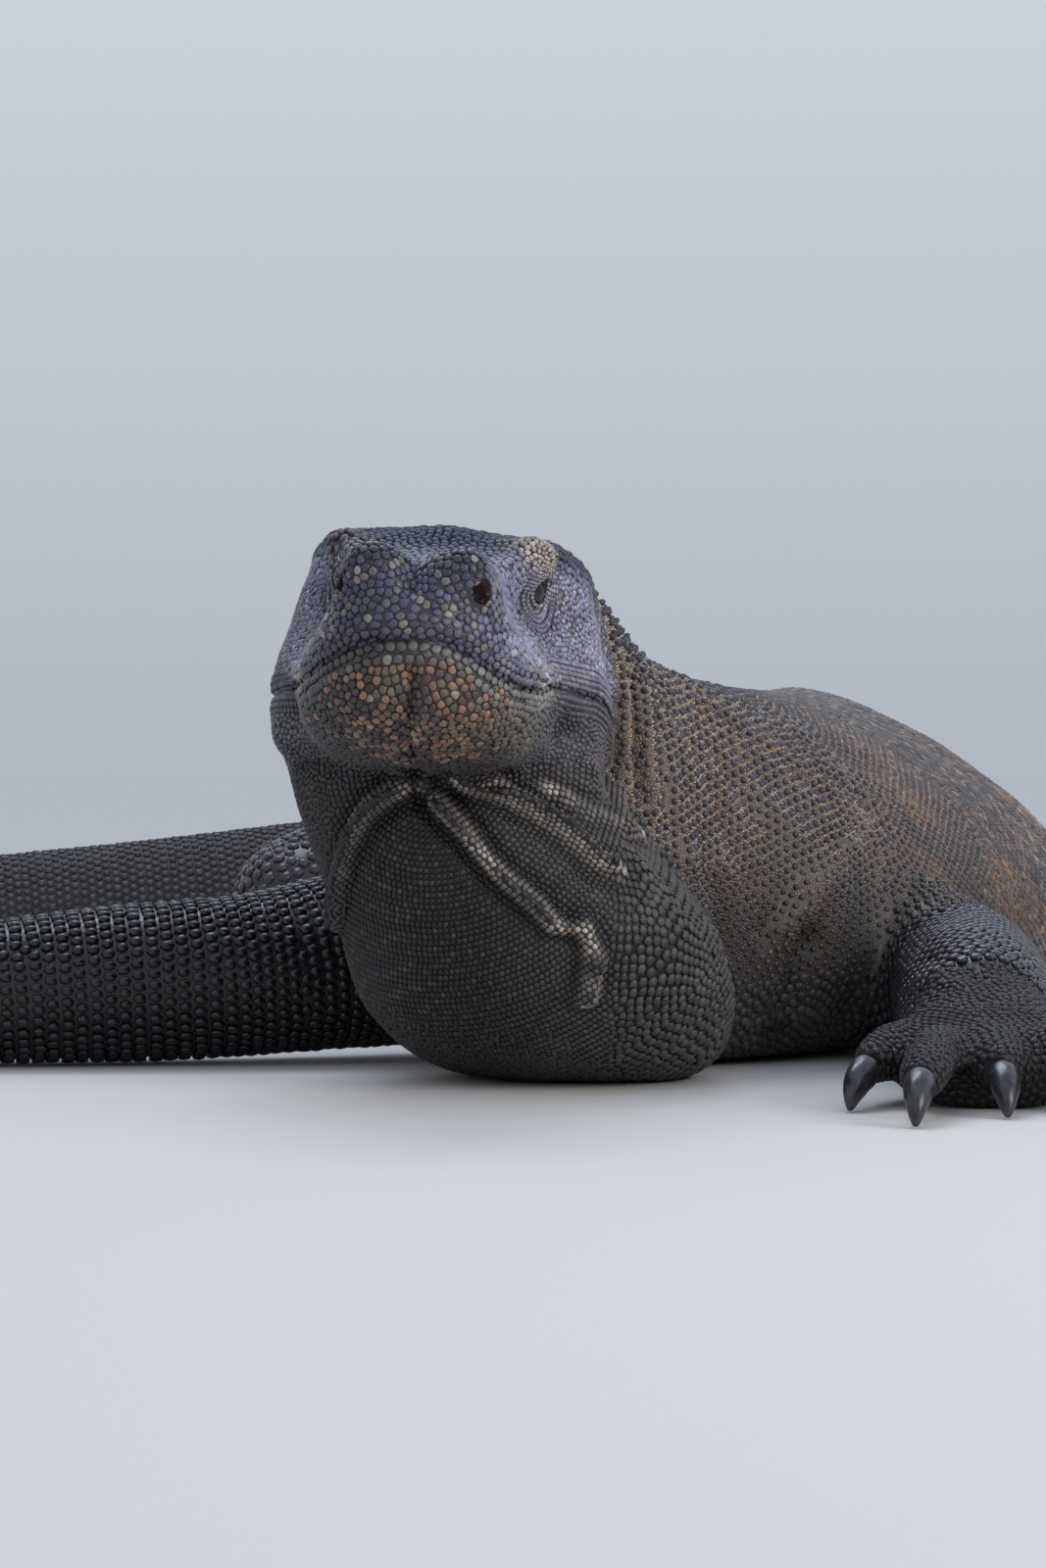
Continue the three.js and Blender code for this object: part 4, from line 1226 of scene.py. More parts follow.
def body_colours_and_shade(points, owner, tint, shade):
    """Neck, throat, trunk, legs and tail, with painted shade and highlights in places; gives back how rough
    they are.
    """
    part = part_test(owner)
    left, _, up = points.T
    # neck and shoulders: dark scales on tan and rust
    ringing = ringed_here(points, owner)
    tint(ringing, (0.040, 0.037, 0.050), 0.85, (0.078, 0.056, 0.042), 0.9)
    tint(part("neck", "chest") * soft_fall(0.045, 0.095, up), OLIVE, 0.8)
    # the ringed scales and their ground darken towards the ground: painted shade under the neck
    tint(ringing * soft_fall(0.050, 0.120, up), (0.028, 0.025, 0.026), 0.7, (0.022, 0.018, 0.016), 0.85)
    # throat: nearly black in front and on the right, painted shade on the side away from the light; grey high
    # on the left side, painted light
    throat = part("throat")
    tint(throat, OLIVE, 1, NEAR_BLACK, 1)
    tint(throat * soft_fall(0.036, 0.091, left), (0.010, 0.009, 0.010), 1)
    tint(throat * soft_step(0.085, 0.125, up) * soft_step(0.026, 0.056, left), (0.085, 0.078, 0.072), 0.8)
    tint(throat * soft_step(0.66, 0.86, cloud(points, 0.004, 77)), (0.060, 0.050, 0.034), 0.5)
    # painted shade in the troughs beside each rope; the pale crest is partly tan skin and partly a painted
    # highlight
    for number, (chain, width, _) in enumerate(ROPES):
        width = width * (1.5 if number == 1 else 1)
        gap, _ = near_chain(points, chain)
        tint(throat * bell(gap, 2.2 * width, 0.9 * width), NEAR_BLACK, 0.60)
        tint(bell(gap, 0, width * 0.80), (0.560, 0.470, 0.390), 0.92, (0.07, 0.05, 0.036), 0.6)
    # painted shade in the creases and grooves, and a tan painted highlight on the ridges
    for chain, width, height in PLEATS:
        gap, _ = near_chain(points, chain)
        colour, share = (NEAR_BLACK, 0.75) if height < 0 else ((0.200, 0.150, 0.115), 0.5)
        tint(bell(gap, 0, width), colour, share)
    # trunk: rust blotches behind the shoulder
    trunk = part("chest", "trunk", "pelvis")
    tint(trunk * (1 - ringing), (0.092, 0.076, 0.068), 0.8)
    rust = soft_step(0.55, 0.85, cloud(points, 0.030, 11)) * soft_step(0.03, 0.08, up)
    tint(rust * trunk, (0.150, 0.085, 0.055), 0.35, ORANGE, 0.40)
    # legs and feet: glossy blue black
    legs, hand = part("foreleg", "hindleg"), solids_where(lambda n: n.endswith("foot"), owner)
    tint(legs, BLUE_BLACK, 0.95, (0.016, 0.011, 0.009), 0.95)
    tint(ringing * legs, NEAR_BLACK, 0, NAPE_TAN, 0.8)
    tint(part("foreleg_left_upper", "hindleg"), GREY_BROWN, 0.14)
    warm = soft_step(0.25, 0.75, cloud(points, 0.035, 3))
    tint(part("foreleg_left_upper") * warm, NEAR_BLACK, 0, TAN, 0.30)
    tint(hand, (0.013, 0.011, 0.011), 0.8)
    # painted shade: the right foreleg, on the side away from the light, is darkened; the feet are darker too
    darker = 1 - 0.40 * hand - 0.42 * part("foreleg_right") * (1 - hand)
    shade(darker, darker)
    tail = part("tail") + part("pelvis") * tail_share(points)
    tint(tail, (0.028, 0.025, 0.028), 0.95, (0.018, 0.015, 0.016), 0.95)
    return np.where(hand, 0.52, np.where(legs, 0.24, 0.50))


def head_colours_and_shade(points, owner, tint, shade):
    """Head and jaw, with painted shade, highlights and sheen in places; gives back how much rougher the crown
    is.
    """
    at = to_head(points)
    x, y, z = at.T
    head = part_test(owner)("head", "lower_jaw")
    from_mouth = z - mouth_level(at)
    upper, jaw = head & (from_mouth > 0), head & (from_mouth <= 0)
    # slate with a painted violet sheen at the side, nearly black on top with a painted blue reflection of the
    # sky
    tint(head, SLATE, 1, (0.042, 0.038, 0.048), 1)
    top = head * soft_step(0.040, 0.056, z)
    tint(top, (0.016, 0.021, 0.054), 0.90)
    tint(upper * soft_step(0.022, 0.050, np.abs(x)) * soft_fall(0.046, 0.058, z), VIOLET, 0.85)
    tint(upper * bell(from_mouth, 0.006, 0.006), (0.100, 0.095, 0.122), 0.8)
    # a painted bluish highlight on the lore of the left side, which faces the light
    tint(upper * swell(at, (0.043, -0.088, 0.034), (0.012, 0.030, 0.012)), (0.330, 0.350, 0.540), 0.6)
    for side, brow_colour in ((1, (0.400, 0.335, 0.270)), (-1, (0.130, 0.090, 0.080))):
        snout_top = 1.5 * swell(at, (0.0195 * side, -0.154, 0.0375), (0.0115, 0.0140, 0.0095))
        tint(head * np.clip(snout_top, 0, 1), (0.017, 0.018, 0.040), 0.88, NEAR_BLACK, 0.7)
        brow = 1.5 * swell(at, (0.047 * side, -0.064, 0.0535), (0.013, 0.017, 0.0105))
        tint(head * np.clip(brow, 0, 1), brow_colour, 0.92)
        opening, _, high = almond(at, side)
        lids, above_eye = head * bell(opening, 1.5, 0.55), soft_step(-0.001, 0.003, high)
        tint(lids * above_eye, (0.360, 0.260, 0.130), 1)
        tint(lids * (1 - above_eye), (0.240, 0.235, 0.180), 0.8)
        tint(head * bell(opening, 3.2, 0.8) * (high < 0.002), (0.060, 0.060, 0.090), 0.6)
    for fleck in FLECKS:
        gap = distance(at, fleck[:3])
        tint(head * soft_fall(fleck[3] * 0.5, fleck[3] * 0.9, gap), CREAM, 0.70)
    # chin: brown, with salmon and yellow green pebbles, greyer at the lip and towards the left
    chin = jaw * soft_fall(-0.085, -0.050, y)
    tint(chin, (0.080, 0.056, 0.045), 0.92, (0.052, 0.040, 0.034), 0.9)
    tint(chin * soft_step(0.022, 0.040, x), (0.122, 0.110, 0.090), 0.85)
    lip_light = 0.30 + 0.60 * soft_step(0.000, 0.035, x)
    tint(chin * soft_fall(0.007, 0.013, -from_mouth), (0.175, 0.170, 0.162), lip_light)
    # painted shade: the head's right side below the crown, away from the light, is darkened
    shaded_side = head * soft_fall(-0.036, 0.014, x) * soft_fall(0.036, 0.056, z)
    shade(1 - 0.64 * shaded_side, 1 - 0.5 * shaded_side)
    corner = bell(from_mouth, 0.002, 0.007) * soft_step(-0.105, -0.085, y) * soft_fall(-0.070, -0.058, y)
    tint(head * corner, (0.330, 0.335, 0.290), 0.80)
    tint(jaw * soft_step(-0.080, -0.055, y), (0.105, 0.092, 0.102), 0.9)
    # painted shade under the jaw, dark brown with a near-black ground
    under = jaw * soft_fall(-0.043, -0.029, z + 0.006 * (cloud(points, 0.010, 31) - 0.5))
    tint(under, (0.034, 0.028, 0.027), 0.92, NEAR_BLACK, 0.7)
    # painted shade in the hollow under the cheek
    tint(jaw * swell(at, (0.061, -0.030, -0.017), (0.012, 0.020, 0.005)), NEAR_BLACK, 0.7)
    # painted shade in the grooves of chin and snout
    for line in (CHIN_GROOVE, SNOUT_GROOVE[1:]):
        tint(head * bell(near_chain(at, line)[0], 0, 0.0024), (0.020, 0.018, 0.024), 0.8)
    # painted shade along the crease of the closed mouth
    tint(head * bell(from_mouth, 0, 0.0014) * (y < 0.030), NEAR_BLACK, 0.8, NEAR_BLACK, 1)
    for place in NOSTRILS:
        gap = distance(at, place)
        tint(head * soft_fall(0.0062, 0.0078, gap), (0.230, 0.170, 0.120), 0.6)
        tint(head * soft_fall(0.004, 0.007, gap), NEAR_BLACK, 0, (0.060, 0.034, 0.020), 1)
    # towards the neck: dark scales on tan, and behind the crown the tan of the neck's beads
    low_down = 0.026 * soft_fall(0.010, 0.040, z)
    at_back = soft_step(-0.002, 0.028, y - low_down + 0.018 * (cloud(points, 0.012, 21) - 0.5))
    tint(head * at_back, (0.040, 0.037, 0.044), 0.9, NAPE_TAN, 0.9)
    tan_nape = soft_step(0.008, 0.050, y + 0.024 * (cloud(points, 0.012, 61) - 0.5))
    tint(head * tan_nape * soft_step(0.030, 0.044, z), (0.108, 0.092, 0.082), 0.90)
    return head, 0.17 * top


def markings(points, owner):
    """Crown colour, ground colour and roughness at these points of the skin; the colours include painted
    shade and light.
    """
    colours = [np.tile(colour, (len(points), 1)).astype(float) for colour in (GREY_BROWN, BARK)]

    def tint(where, crown_colour, crown_share, ground_colour=None, ground_share=0):
        """Lays a colour over the crowns and one over the ground, by these shares."""
        colours[0] = mix(colours[0], crown_colour, crown_share * where)
        if ground_colour is not None:
            colours[1] = mix(colours[1], ground_colour, ground_share * where)

    def shade(crown_light, ground_light):
        colours[0] = colours[0] * crown_light[:, None]
        colours[1] = colours[1] * ground_light[:, None]

    rough = body_colours_and_shade(points, owner, tint, shade)
    head, rougher = head_colours_and_shade(points, owner, tint, shade)
    return colours[0], colours[1], np.where(head, 0.38, rough) + rougher


def pebbles_here(points, owner):
    """Where bright pebbles stand on the chin, 0 to 1."""
    at = to_head(points)
    below = mouth_level(at) - at[:, 2]
    jaw = part_test(owner)("head", "lower_jaw") * (below > 0)
    lobes = bell(at[:, 0], -0.010, 0.011) + bell(at[:, 0], 0.021, 0.012)
    height = soft_step(0.004, 0.008, below) * soft_fall(0.030, 0.042, below)
    return jaw * (0.22 + 0.78 * np.clip(lobes, 0, 1)) * height * soft_fall(-0.115, -0.085, at[:, 1])


# colour and share of the single scales that differ from their neighbours
CHIN_PEBBLES = [((0.235, 0.122, 0.080), 0.34), ((0.190, 0.128, 0.082), 0.26),
                ((0.130, 0.118, 0.080), 0.12), ((0.210, 0.195, 0.138), 0.05)]
SNOUT_PEBBLES = [((0.170, 0.140, 0.112), 0.09), ((0.240, 0.215, 0.165), 0.03),
                 ((0.050, 0.050, 0.085), 0.28)]
FACE_PEBBLES = [((0.190, 0.160, 0.180), 0.26), ((0.330, 0.320, 0.415), 0.10)]
TRUNK_PEBBLES = [((0.215, 0.180, 0.138), 0.16), ((0.040, 0.035, 0.038), 0.24),
                 ((0.200, 0.100, 0.052), 0.10)]
PEBBLE_SHARE = 0.85


def speckle_scales(base, palette, share, choice):
    """Turns single scales to the colours of a palette, by their shares."""
    start = 0.0
    for colour, part in palette:
        chosen = (choice > start) & (choice < start + part * np.clip(share, 0, 1))
        base = mix(base, colour, PEBBLE_SHARE * chosen)
        start += part
    return base


crown, ground, rough = markings(roots, owner)
part = part_test(owner)
at = to_head(roots)
upper = part("head") * (at[:, 2] - mouth_level(at) > 0.001)
cheeks = soft_step(0.030, 0.045, np.abs(at[:, 0])) * (at[:, 2] < 0.046)
back = soft_fall(0.46, 0.58, roots[:, 1]) * (1 - ringed_here(roots, owner))
back = back * part("trunk", "pelvis", "chest") * soft_step(0.04, 0.07, roots[:, 2])
choice = rng.random(len(roots))
for palette, share in ((CHIN_PEBBLES, pebbles_here(roots, owner)),
                       (SNOUT_PEBBLES, upper * soft_fall(-0.130, -0.105, at[:, 1])),
                       (FACE_PEBBLES, upper * cheeks), (TRUNK_PEBBLES, back)):
    crown = speckle_scales(crown, palette, share, choice)
# every scale is a little lighter or darker than its neighbours
crown = crown * np.exp(0.36 * (rng.random(len(roots)) - 0.5) * 2)[:, None]
# the knobs of the crown and of the nape stand taller
lift = 1 + 1.3 * part("head") * soft_step(0.048, 0.056, at[:, 2])
lift += 0.8 * part("neck_front") * soft_step(-0.010, 0.015, at[:, 2])
print("markings for", len(roots), "scales, tallest lift", round(float(lift.max()), 2))

# %% [markdown]
# On the neck and shoulders each big dark scale stands in a ring of tiny beads,
# tan, rust and cream. Places for beads are struck in two rings round every such
# scale, thinned so that none touch, and kept clear of the big scales.

# %% Beads round the scales of the neck
RING_SHARE, FULL_SHARE = 0.335, 0.64
BEAD, BEAD_LIFT = 0.0015, 1.9
# beads in each ring, and how many beads' widths it stands off the scale
BEAD_RINGS = ((13, 0.55), (14, 1.45))
FAR_OFF = 9.0
is_ringed = ringed_here(roots, owner) > 0.12 + 0.50 * rng.random(len(roots))
widest = np.where(is_ringed, RING_SHARE, FULL_SHARE)
parents = np.where(is_ringed)[0]
spots = []
for number, farther in BEAD_RINGS:
    angles = 2 * np.pi * (np.arange(number)[None] + 0.5 * (parents[:, None] % 2)) / number
    far = RING_SHARE * sizes[parents] + farther * BEAD
    spot = roots[parents][:, None] + along[parents][:, None] * (far[:, :1] * np.cos(angles))[..., None]
    spot = spot + across[parents][:, None] * (far[:, 1:] * np.sin(angles))[..., None]
    spots.append(spot.reshape(-1, 3))
spots = np.concatenate(spots)
parent_of = np.concatenate([np.repeat(parents, number) for number, _ in BEAD_RINGS])
tree = point_tree(roots)


def clear_of_scales(p):
    """True where a bead fits between the nearest scales."""
    for _, other, _ in tree.find_n(Vector(p), 4):
        away = p - roots[other]
        far = math.hypot(away @ along[other] / sizes[other, 0], away @ across[other] / sizes[other, 1])
        if far < widest[other] - 0.02 - 0.10 * (widest[other] > 0.5):
            return False
    return True


clear = np.array([clear_of_scales(p) for p in spots])
spots, parent_of = spots[clear], parent_of[clear]
kept = thin_out(spots, np.full(len(spots), BEAD * 1.04), [])
parent_of = parent_of[kept]
spots, spots_out = skin_normals_at(spots[kept])
choice = rng.random(len(spots))
warm = soft_step(0.25, 0.75, cloud(spots, 0.035, 3))
bead_colour = np.tile((0.440, 0.335, 0.245), (len(spots), 1)).astype(float)
for colour, share in (((0.290, 0.265, 0.255), choice < 0.30),
                      ((0.520, 0.265, 0.115), ((choice > 0.45) & (choice < 0.45 + 0.35 * warm)) * 0.9),
                      ((0.620, 0.540, 0.400), (choice > 0.86) * 0.9)):
    bead_colour = mix(bead_colour, colour, share)
farther_back = soft_step(0.06, 0.22, spots[:, 1] - (HEAD_ORIGIN[1] + 0.03))
on_arm = part_test(owner[parent_of])("foreleg")
# beads darken towards the ground, painted shade under the neck; they are also a little darker farther back
# and on the arm
light = (0.20 + 0.80 * soft_step(0.040, 0.120, spots[:, 2])) * (1 - 0.34 * farther_back) * (1 - 0.30 * on_arm)
bead_colour *= light[:, None] * np.exp(0.30 * (rng.random((len(spots), 1)) - 0.5))
is_bead = np.arange(len(roots) + len(spots)) >= len(roots)
along, across = square_up(np.concatenate([along, along[parent_of]]), np.concatenate([out, spots_out]))


def with_beads(of_scales, of_beads):
    """One array for the scales and then the beads; a single number serves every bead."""
    if np.isscalar(of_beads):
        of_beads = np.full((len(spots), *of_scales.shape[1:]), of_beads)
    return np.concatenate([of_scales, of_beads])


roots, out = with_beads(roots, spots), with_beads(out, spots_out)
owner, rough = with_beads(owner, owner[parent_of]), with_beads(rough, rough[parent_of])
crown, ground = with_beads(crown, bead_colour), with_beads(ground, ground[parent_of] * 0.7)
sizes, widest, lift = with_beads(sizes, BEAD), with_beads(widest, 0.50), with_beads(lift, BEAD_LIFT)
a, b = with_beads(a, FAR_OFF), with_beads(b, FAR_OFF)
print("beads", len(spots), "round", len(parents), "scales")

# %% [markdown]
# A scale is a low closed dome: a ring of points on its outline, sunk a little
# into the skin, one or two rings above, and a top. On the head, the neck and
# the left arm the domes have two upper rings, elsewhere one, and beads none.
# All the scales of a stretch are one mesh, so the coat is a handful of pieces.

# %% Grow the domes
GAP_SHARE, GROOVE_SHARE = 0.016, 0.20
SINK, LOWEST_DOME = 0.0006, 0.0003
NOSTRIL_RIM, EYE_EDGE = 0.0047, 1.08
PATCH = 0.003
# sides, and for each ring its share of the outline and its level, with None sunk in the skin
FINE = (7, [(1.0, None), (0.93, 0), (0.60, 1)])
MIDDLE = (6, [(1.0, None), (0.88, 0), (0.50, 1)])
PLAIN = (6, [(1.0, None), (0.90, 2)])
FAR = (5, [(1.0, None), (0.90, 2)])
TINY = (5, [(1.0, None)])


def kept_outside(points):
    """Points moved out of the nostrils and of the eyes' openings, onto their edges."""
    at = to_head(points.reshape(-1, 3))
    for place in NOSTRILS:
        away, inward = at - place, inward_of(place)
        deep = away @ inward
        off = away - deep[:, None] * inward
        far = np.linalg.norm(off * (1, 1, 1.2), axis=1)
        inside = (far < NOSTRIL_RIM) & (np.abs(deep) < 0.010)
        at[inside] += off[inside] * (NOSTRIL_RIM / np.maximum(far[inside], 1e-5) - 1)[:, None]
    for side in (1, -1):
        _, across, up, _ = EYES[side]
        edge, away, high = almond(at, side)
        inside = (edge < EYE_EDGE) & (np.linalg.norm(away, axis=1) < 0.016)
        off = (away @ across)[:, None] * across + high[:, None] * up
        at[inside] += off[inside] * (EYE_EDGE / np.maximum(edge[inside], 1e-3) - 1)[:, None]
    return from_head(at).reshape(points.shape)


def outlines(chosen, sides, phase):
    """How far each scale reaches in each direction, in scale lengths and widths."""
    angles = phase[:, None] + 2 * np.pi * np.arange(sides) / sides
    reach = np.full(angles.shape, FULL_SHARE)
    for k in range(NEIGHBOURS):
        pa, pb = a[chosen, k][:, None], b[chosen, k][:, None]
        forward = pa * np.cos(angles) + pb * np.sin(angles)
        half = (pa**2 + pb**2) / 2
        reach = np.minimum(reach, np.where(forward > 1e-4, half / np.maximum(forward, 1e-4), FAR_OFF))
    soft = (np.roll(reach, 1, axis=1) + 2 * reach + np.roll(reach, -1, axis=1)) / 4
    groove = kind_table[owner[chosen]][:, 5:6]
    reach = np.minimum(np.minimum(reach, soft * 1.06) - GAP_SHARE, widest[chosen][:, None])
    return reach * (1 - GROOVE_SHARE * groove * np.abs(np.cos(angles))), angles


def dome_faces(sides, rings):
    """The triangles of one dome of so many rings, and how many points it has."""
    top = rings * sides
    faces = []
    for ring in range(rings - 1):
        for k in range(sides):
            low, low2 = ring * sides + k, ring * sides + (k + 1) % sides
            faces += [(low, low2, low2 + sides), (low, low2 + sides, low + sides)]
    faces += [(top - sides + k, top - sides + (k + 1) % sides, top) for k in range(sides)]
    return faces + [(0, k + 1, k) for k in range(1, sides - 1)], top + 1


def triangle_mesh(name, points, faces):
    """A mesh straight from arrays of points and triangles."""
    mesh = bpy.data.meshes.new(name)
    mesh.vertices.add(len(points))
    mesh.vertices.foreach_set("co", points.astype(np.float32).ravel())
    mesh.loops.add(len(faces) * 3)
    mesh.loops.foreach_set("vertex_index", faces.astype(np.int32).ravel())
    mesh.polygons.add(len(faces))
    mesh.polygons.foreach_set("loop_start", np.arange(0, len(faces) * 3, 3, dtype=np.int32))
    mesh.update(calc_edges=True)
    mesh.shade_smooth()
    return mesh


def write_markings(mesh, crown_colour, ground_colour, roughness, rim):
    """Keeps the markings on a mesh's points."""
    for key, value in (("crown", crown_colour), ("ground", ground_colour)):
        store = mesh.attributes.new(key, "FLOAT_COLOR", "POINT")
        whole = np.concatenate([value, np.ones((len(value), 1))], axis=1)
        store.data.foreach_set("color", whole.astype(np.float32).ravel())
    for key, value in (("rough", roughness), ("rim", rim)):
        store = mesh.attributes.new(key, "FLOAT", "POINT")
        store.data.foreach_set("value", np.asarray(value, np.float32).ravel())


def dome_piece(name, chosen, style, places):
    """One coat piece: domes on the chosen scales, with colours and a map for baking."""
    sides, rings = style
    count = len(chosen)
    kind = kind_table[owner[chosen]]
    flat, keel = kind[:, 3:4], kind[:, 4:5]
    size, root, normal = sizes[chosen], roots[chosen], out[chosen]
    tall = kind[:, 2:3] / 1000 * (size.min(axis=1) / (kind[:, :2].min(axis=1) / 1000))[:, None]
    tall = tall * lift[chosen][:, None] * (0.86 + 0.28 * rng.random((count, 1)))
    reach, angles = outlines(chosen, sides, rng.random(count) * 0.5)
    levels = [0.48 + 0.34 * flat, 0.88 + 0.12 * flat, 0.62 + 0.28 * flat]
    points, rim, local = [], [], []
    for share, level in rings:
        sunk = level is None
        pa = reach * share * np.cos(angles) + (0 if sunk else keel * (1 - share) * 0.25)
        pb = reach * share * np.sin(angles)
        high = np.zeros_like(pa) + (-SINK if sunk else tall * levels[level])
        place = root[:, None] + along[chosen][:, None] * (pa * size[:, :1])[..., None]
        place = place + across[chosen][:, None] * (pb * size[:, 1:])[..., None]
        points.append(place + normal[:, None] * high[..., None])
        rim.append(np.full((count, sides), 1.3 if sunk else share))
        local.append(np.stack([pa, pb], axis=2))
    top = root + normal * tall * (1 + 0.15 * keel) + along[chosen] * (keel * 0.22 * size[:, :1])
    points = np.concatenate(points + [top[:, None]], axis=1)
    rim = np.concatenate(rim + [np.zeros((count, 1))], axis=1)
    local = np.concatenate(local + [np.zeros((count, 1, 2))], axis=1)
    if name in ("scales_head", "scales_face"):
        points = kept_outside(points)
    points[..., 2] = np.maximum(points[..., 2], LOWEST_DOME)
    faces, per = dome_faces(sides, len(rings))
    faces = (np.array(faces)[None] + np.arange(count)[:, None, None] * per).reshape(-1, 3)
    mesh = triangle_mesh(name, points.reshape(-1, 3), faces)
    write_markings(mesh, *(np.repeat(value[chosen], per, axis=0) for value in (crown, ground, rough)), rim)
    patch = (places[:, None] + local * PATCH).reshape(-1, 2)
    uv_map = mesh.uv_layers.new(name="OFBake")
    uv_map.data.foreach_set("uv", patch[faces.ravel()].astype(np.float32).ravel())
    piece = bpy.data.objects.new(name, mesh)
    bpy.context.scene.collection.objects.link(piece)
    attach(piece, "root")
    return piece


print("styles of dome:", FINE[0], MIDDLE[0], PLAIN[0], FAR[0], TINY[0], "sides")

# %% [markdown]
# Skin and scales share one effect: crown colour inside, ground colour towards
# the rim, a little dust and grain over both. It is a node group, so both
# materials hold the same markings.

# %% Materials of skin and scales
CROWN_EDGE = 0.95
marking_group = bpy.data.node_groups.new("dragon_markings", "ShaderNodeTree")
for label, kind, way, value in (
        ("Grain", "Float", "INPUT", 900.0), ("Spread", "Float", "INPUT", 0.22),
        ("Color", "Color", "OUTPUT", None), ("Roughness", "Float", "OUTPUT", None),
        ("Height", "Float", "OUTPUT", None)):
    made = marking_group.interface.new_socket(label, in_out=way, socket_type="NodeSocket" + kind)
    if value is not None:
        made.default_value = value
made = add_nodes(
    marking_group,
    *((key, "Attribute", (-900, 300 - 160 * row), {"attribute_name": key}, {})
      for row, key in enumerate(("crown", "ground", "rough", "rim"))),
    ("edge high", "Math", (-700, -420), {"operation": "ADD"}, {0: CROWN_EDGE}),
    ("mask", "MapRange", (-500, -200), {"interpolation_type": "SMOOTHSTEP"}, {"From Min": CROWN_EDGE}),
    ("mixer", "Mix", (-250, 100), {"data_type": "RGBA"}, {}),
    ("where", "TexCoord", (-900, -560), {}, {}),
    ("grain", "TexNoise", (-500, -520), {}, {"Detail": 4}),
    ("patches", "TexNoise", (-500, -760), {}, {"Scale": 45, "Detail": 3}),
    ("speckle", "MapRange", (-250, -420), {},
     {"From Min": 0.3, "From Max": 0.7, "To Min": 0.72, "To Max": 1.28}),
    ("dust", "MapRange", (-250, -680), {},
     {"From Min": 0.35, "From Max": 0.7, "To Min": 0.85, "To Max": 1.2}),
    ("both", "Math", (-50, -520), {"operation": "MULTIPLY"}, {}),
    ("shaded", "VectorMath", (150, 100), {"operation": "SCALE"}, {}),
    ("rougher", "Math", (150, -200), {"operation": "MULTIPLY"}, {}),
)
for label, kind, place in (("in", "NodeGroupInput", (-900, 0)), ("out", "NodeGroupOutput", (700, 0))):
    made[label] = marking_group.nodes.new(kind)
    made[label].location = place
join_nodes(
    marking_group, made,
    ("in", "Spread", "edge high", 1), ("edge high", 0, "mask", "From Max"), ("rim", "Fac", "mask", "Value"),
    ("mask", "Result", "mixer", "Factor"),
    ("crown", "Color", "mixer", "A"), ("ground", "Color", "mixer", "B"),
    ("where", "Object", "grain", "Vector"), ("in", "Grain", "grain", "Scale"),
    ("where", "Object", "patches", "Vector"), ("grain", "Fac", "speckle", "Value"),
    ("patches", "Fac", "dust", "Value"), ("speckle", "Result", "both", 0), ("dust", "Result", "both", 1),
    ("mixer", "Result", "shaded", 0), ("both", 0, "shaded", "Scale"), ("shaded", 0, "out", "Color"),
    ("rough", "Fac", "rougher", 0), ("dust", "Result", "rougher", 1), ("rougher", 0, "out", "Roughness"),
    ("grain", "Fac", "out", "Height"),
)


def hide_material(name, grain_scale, spread, bump):
    """A material that shows the markings, with this much bump."""
    material, tree, shader = new_material(name, Specular_IOR_Level=0.5)
    made = add_nodes(tree, ("marks", "Group", (-600, 0), {"node_tree": marking_group},
                            {"Grain": grain_scale, "Spread": spread}),
                     ("relief", "Bump", (-300, -250), {}, {"Strength": bump, "Distance": 0.0004}))
    made["shader"] = shader
    join_nodes(tree, made, ("marks", "Height", "relief", "Height"),
               ("marks", "Color", "shader", "Base Color"), ("marks", "Roughness", "shader", "Roughness"),
               ("relief", "Normal", "shader", "Normal"))
    return material


scale_material = hide_material("scale_horn", 1100, 0.22, 0.35)
skin.data.materials.append(hide_material("bare_skin", 700, 0.10, 0.8))
write_markings(skin.data, *markings(skin_points, nearest_solid(skin_points)),
               np.full(len(skin_points), 1.5))
print("materials:", scale_material.name, skin.data.materials[0].name)

# %% [markdown]
# The coat is cut into stretches. Within a stretch each scale has a place on an
# unrolled map of the skin: along the body one way, round it the other.

# %% Coat pieces
LINES["head"] = from_head([(0, -0.150, 0.012), (0, -0.100, 0.012), (0, -0.04, 0.010), (0, 0.045, 0.008)])
LINES["throat"] = in_metres([(-30, -20, 150), (0, -20, 80), (20, 10, 0)])
LARGE = 0.0028
MAP_STEP = 0.004


def unrolled(points, line):
    """Places on a map: along a middle line, and round it."""
    chain, ways = even_line(line, MAP_STEP)
    tree = point_tree(chain)
    found = np.array([tree.find(p)[1] for p in points])
    away = points - chain[found]
    side = np.cross(ways[found], (0, 0, 1.0))
    side /= np.maximum(np.linalg.norm(side, axis=1), 1e-6)[:, None]
    up = np.cross(side, ways[found])
    angle = np.arctan2((away * side).sum(axis=1), (away * up).sum(axis=1))
    forward = (away * ways[found]).sum(axis=1)
    run = found * MAP_STEP + np.where((found == 0) | (found == len(chain) - 1), forward, 0)
    return np.stack([run, angle / (2 * np.pi) + 0.5], axis=1)


def fitted(places):
    """The map stretched to fill its square, but for a narrow edge."""
    places = places - places.min(axis=0)
    return 0.01 + 0.98 * places / np.maximum(places.max(axis=0), 1e-6)


names = np.array(flesh)[owner]
large = sizes.min(axis=1) > LARGE
everywhere = np.ones(len(roots), bool)
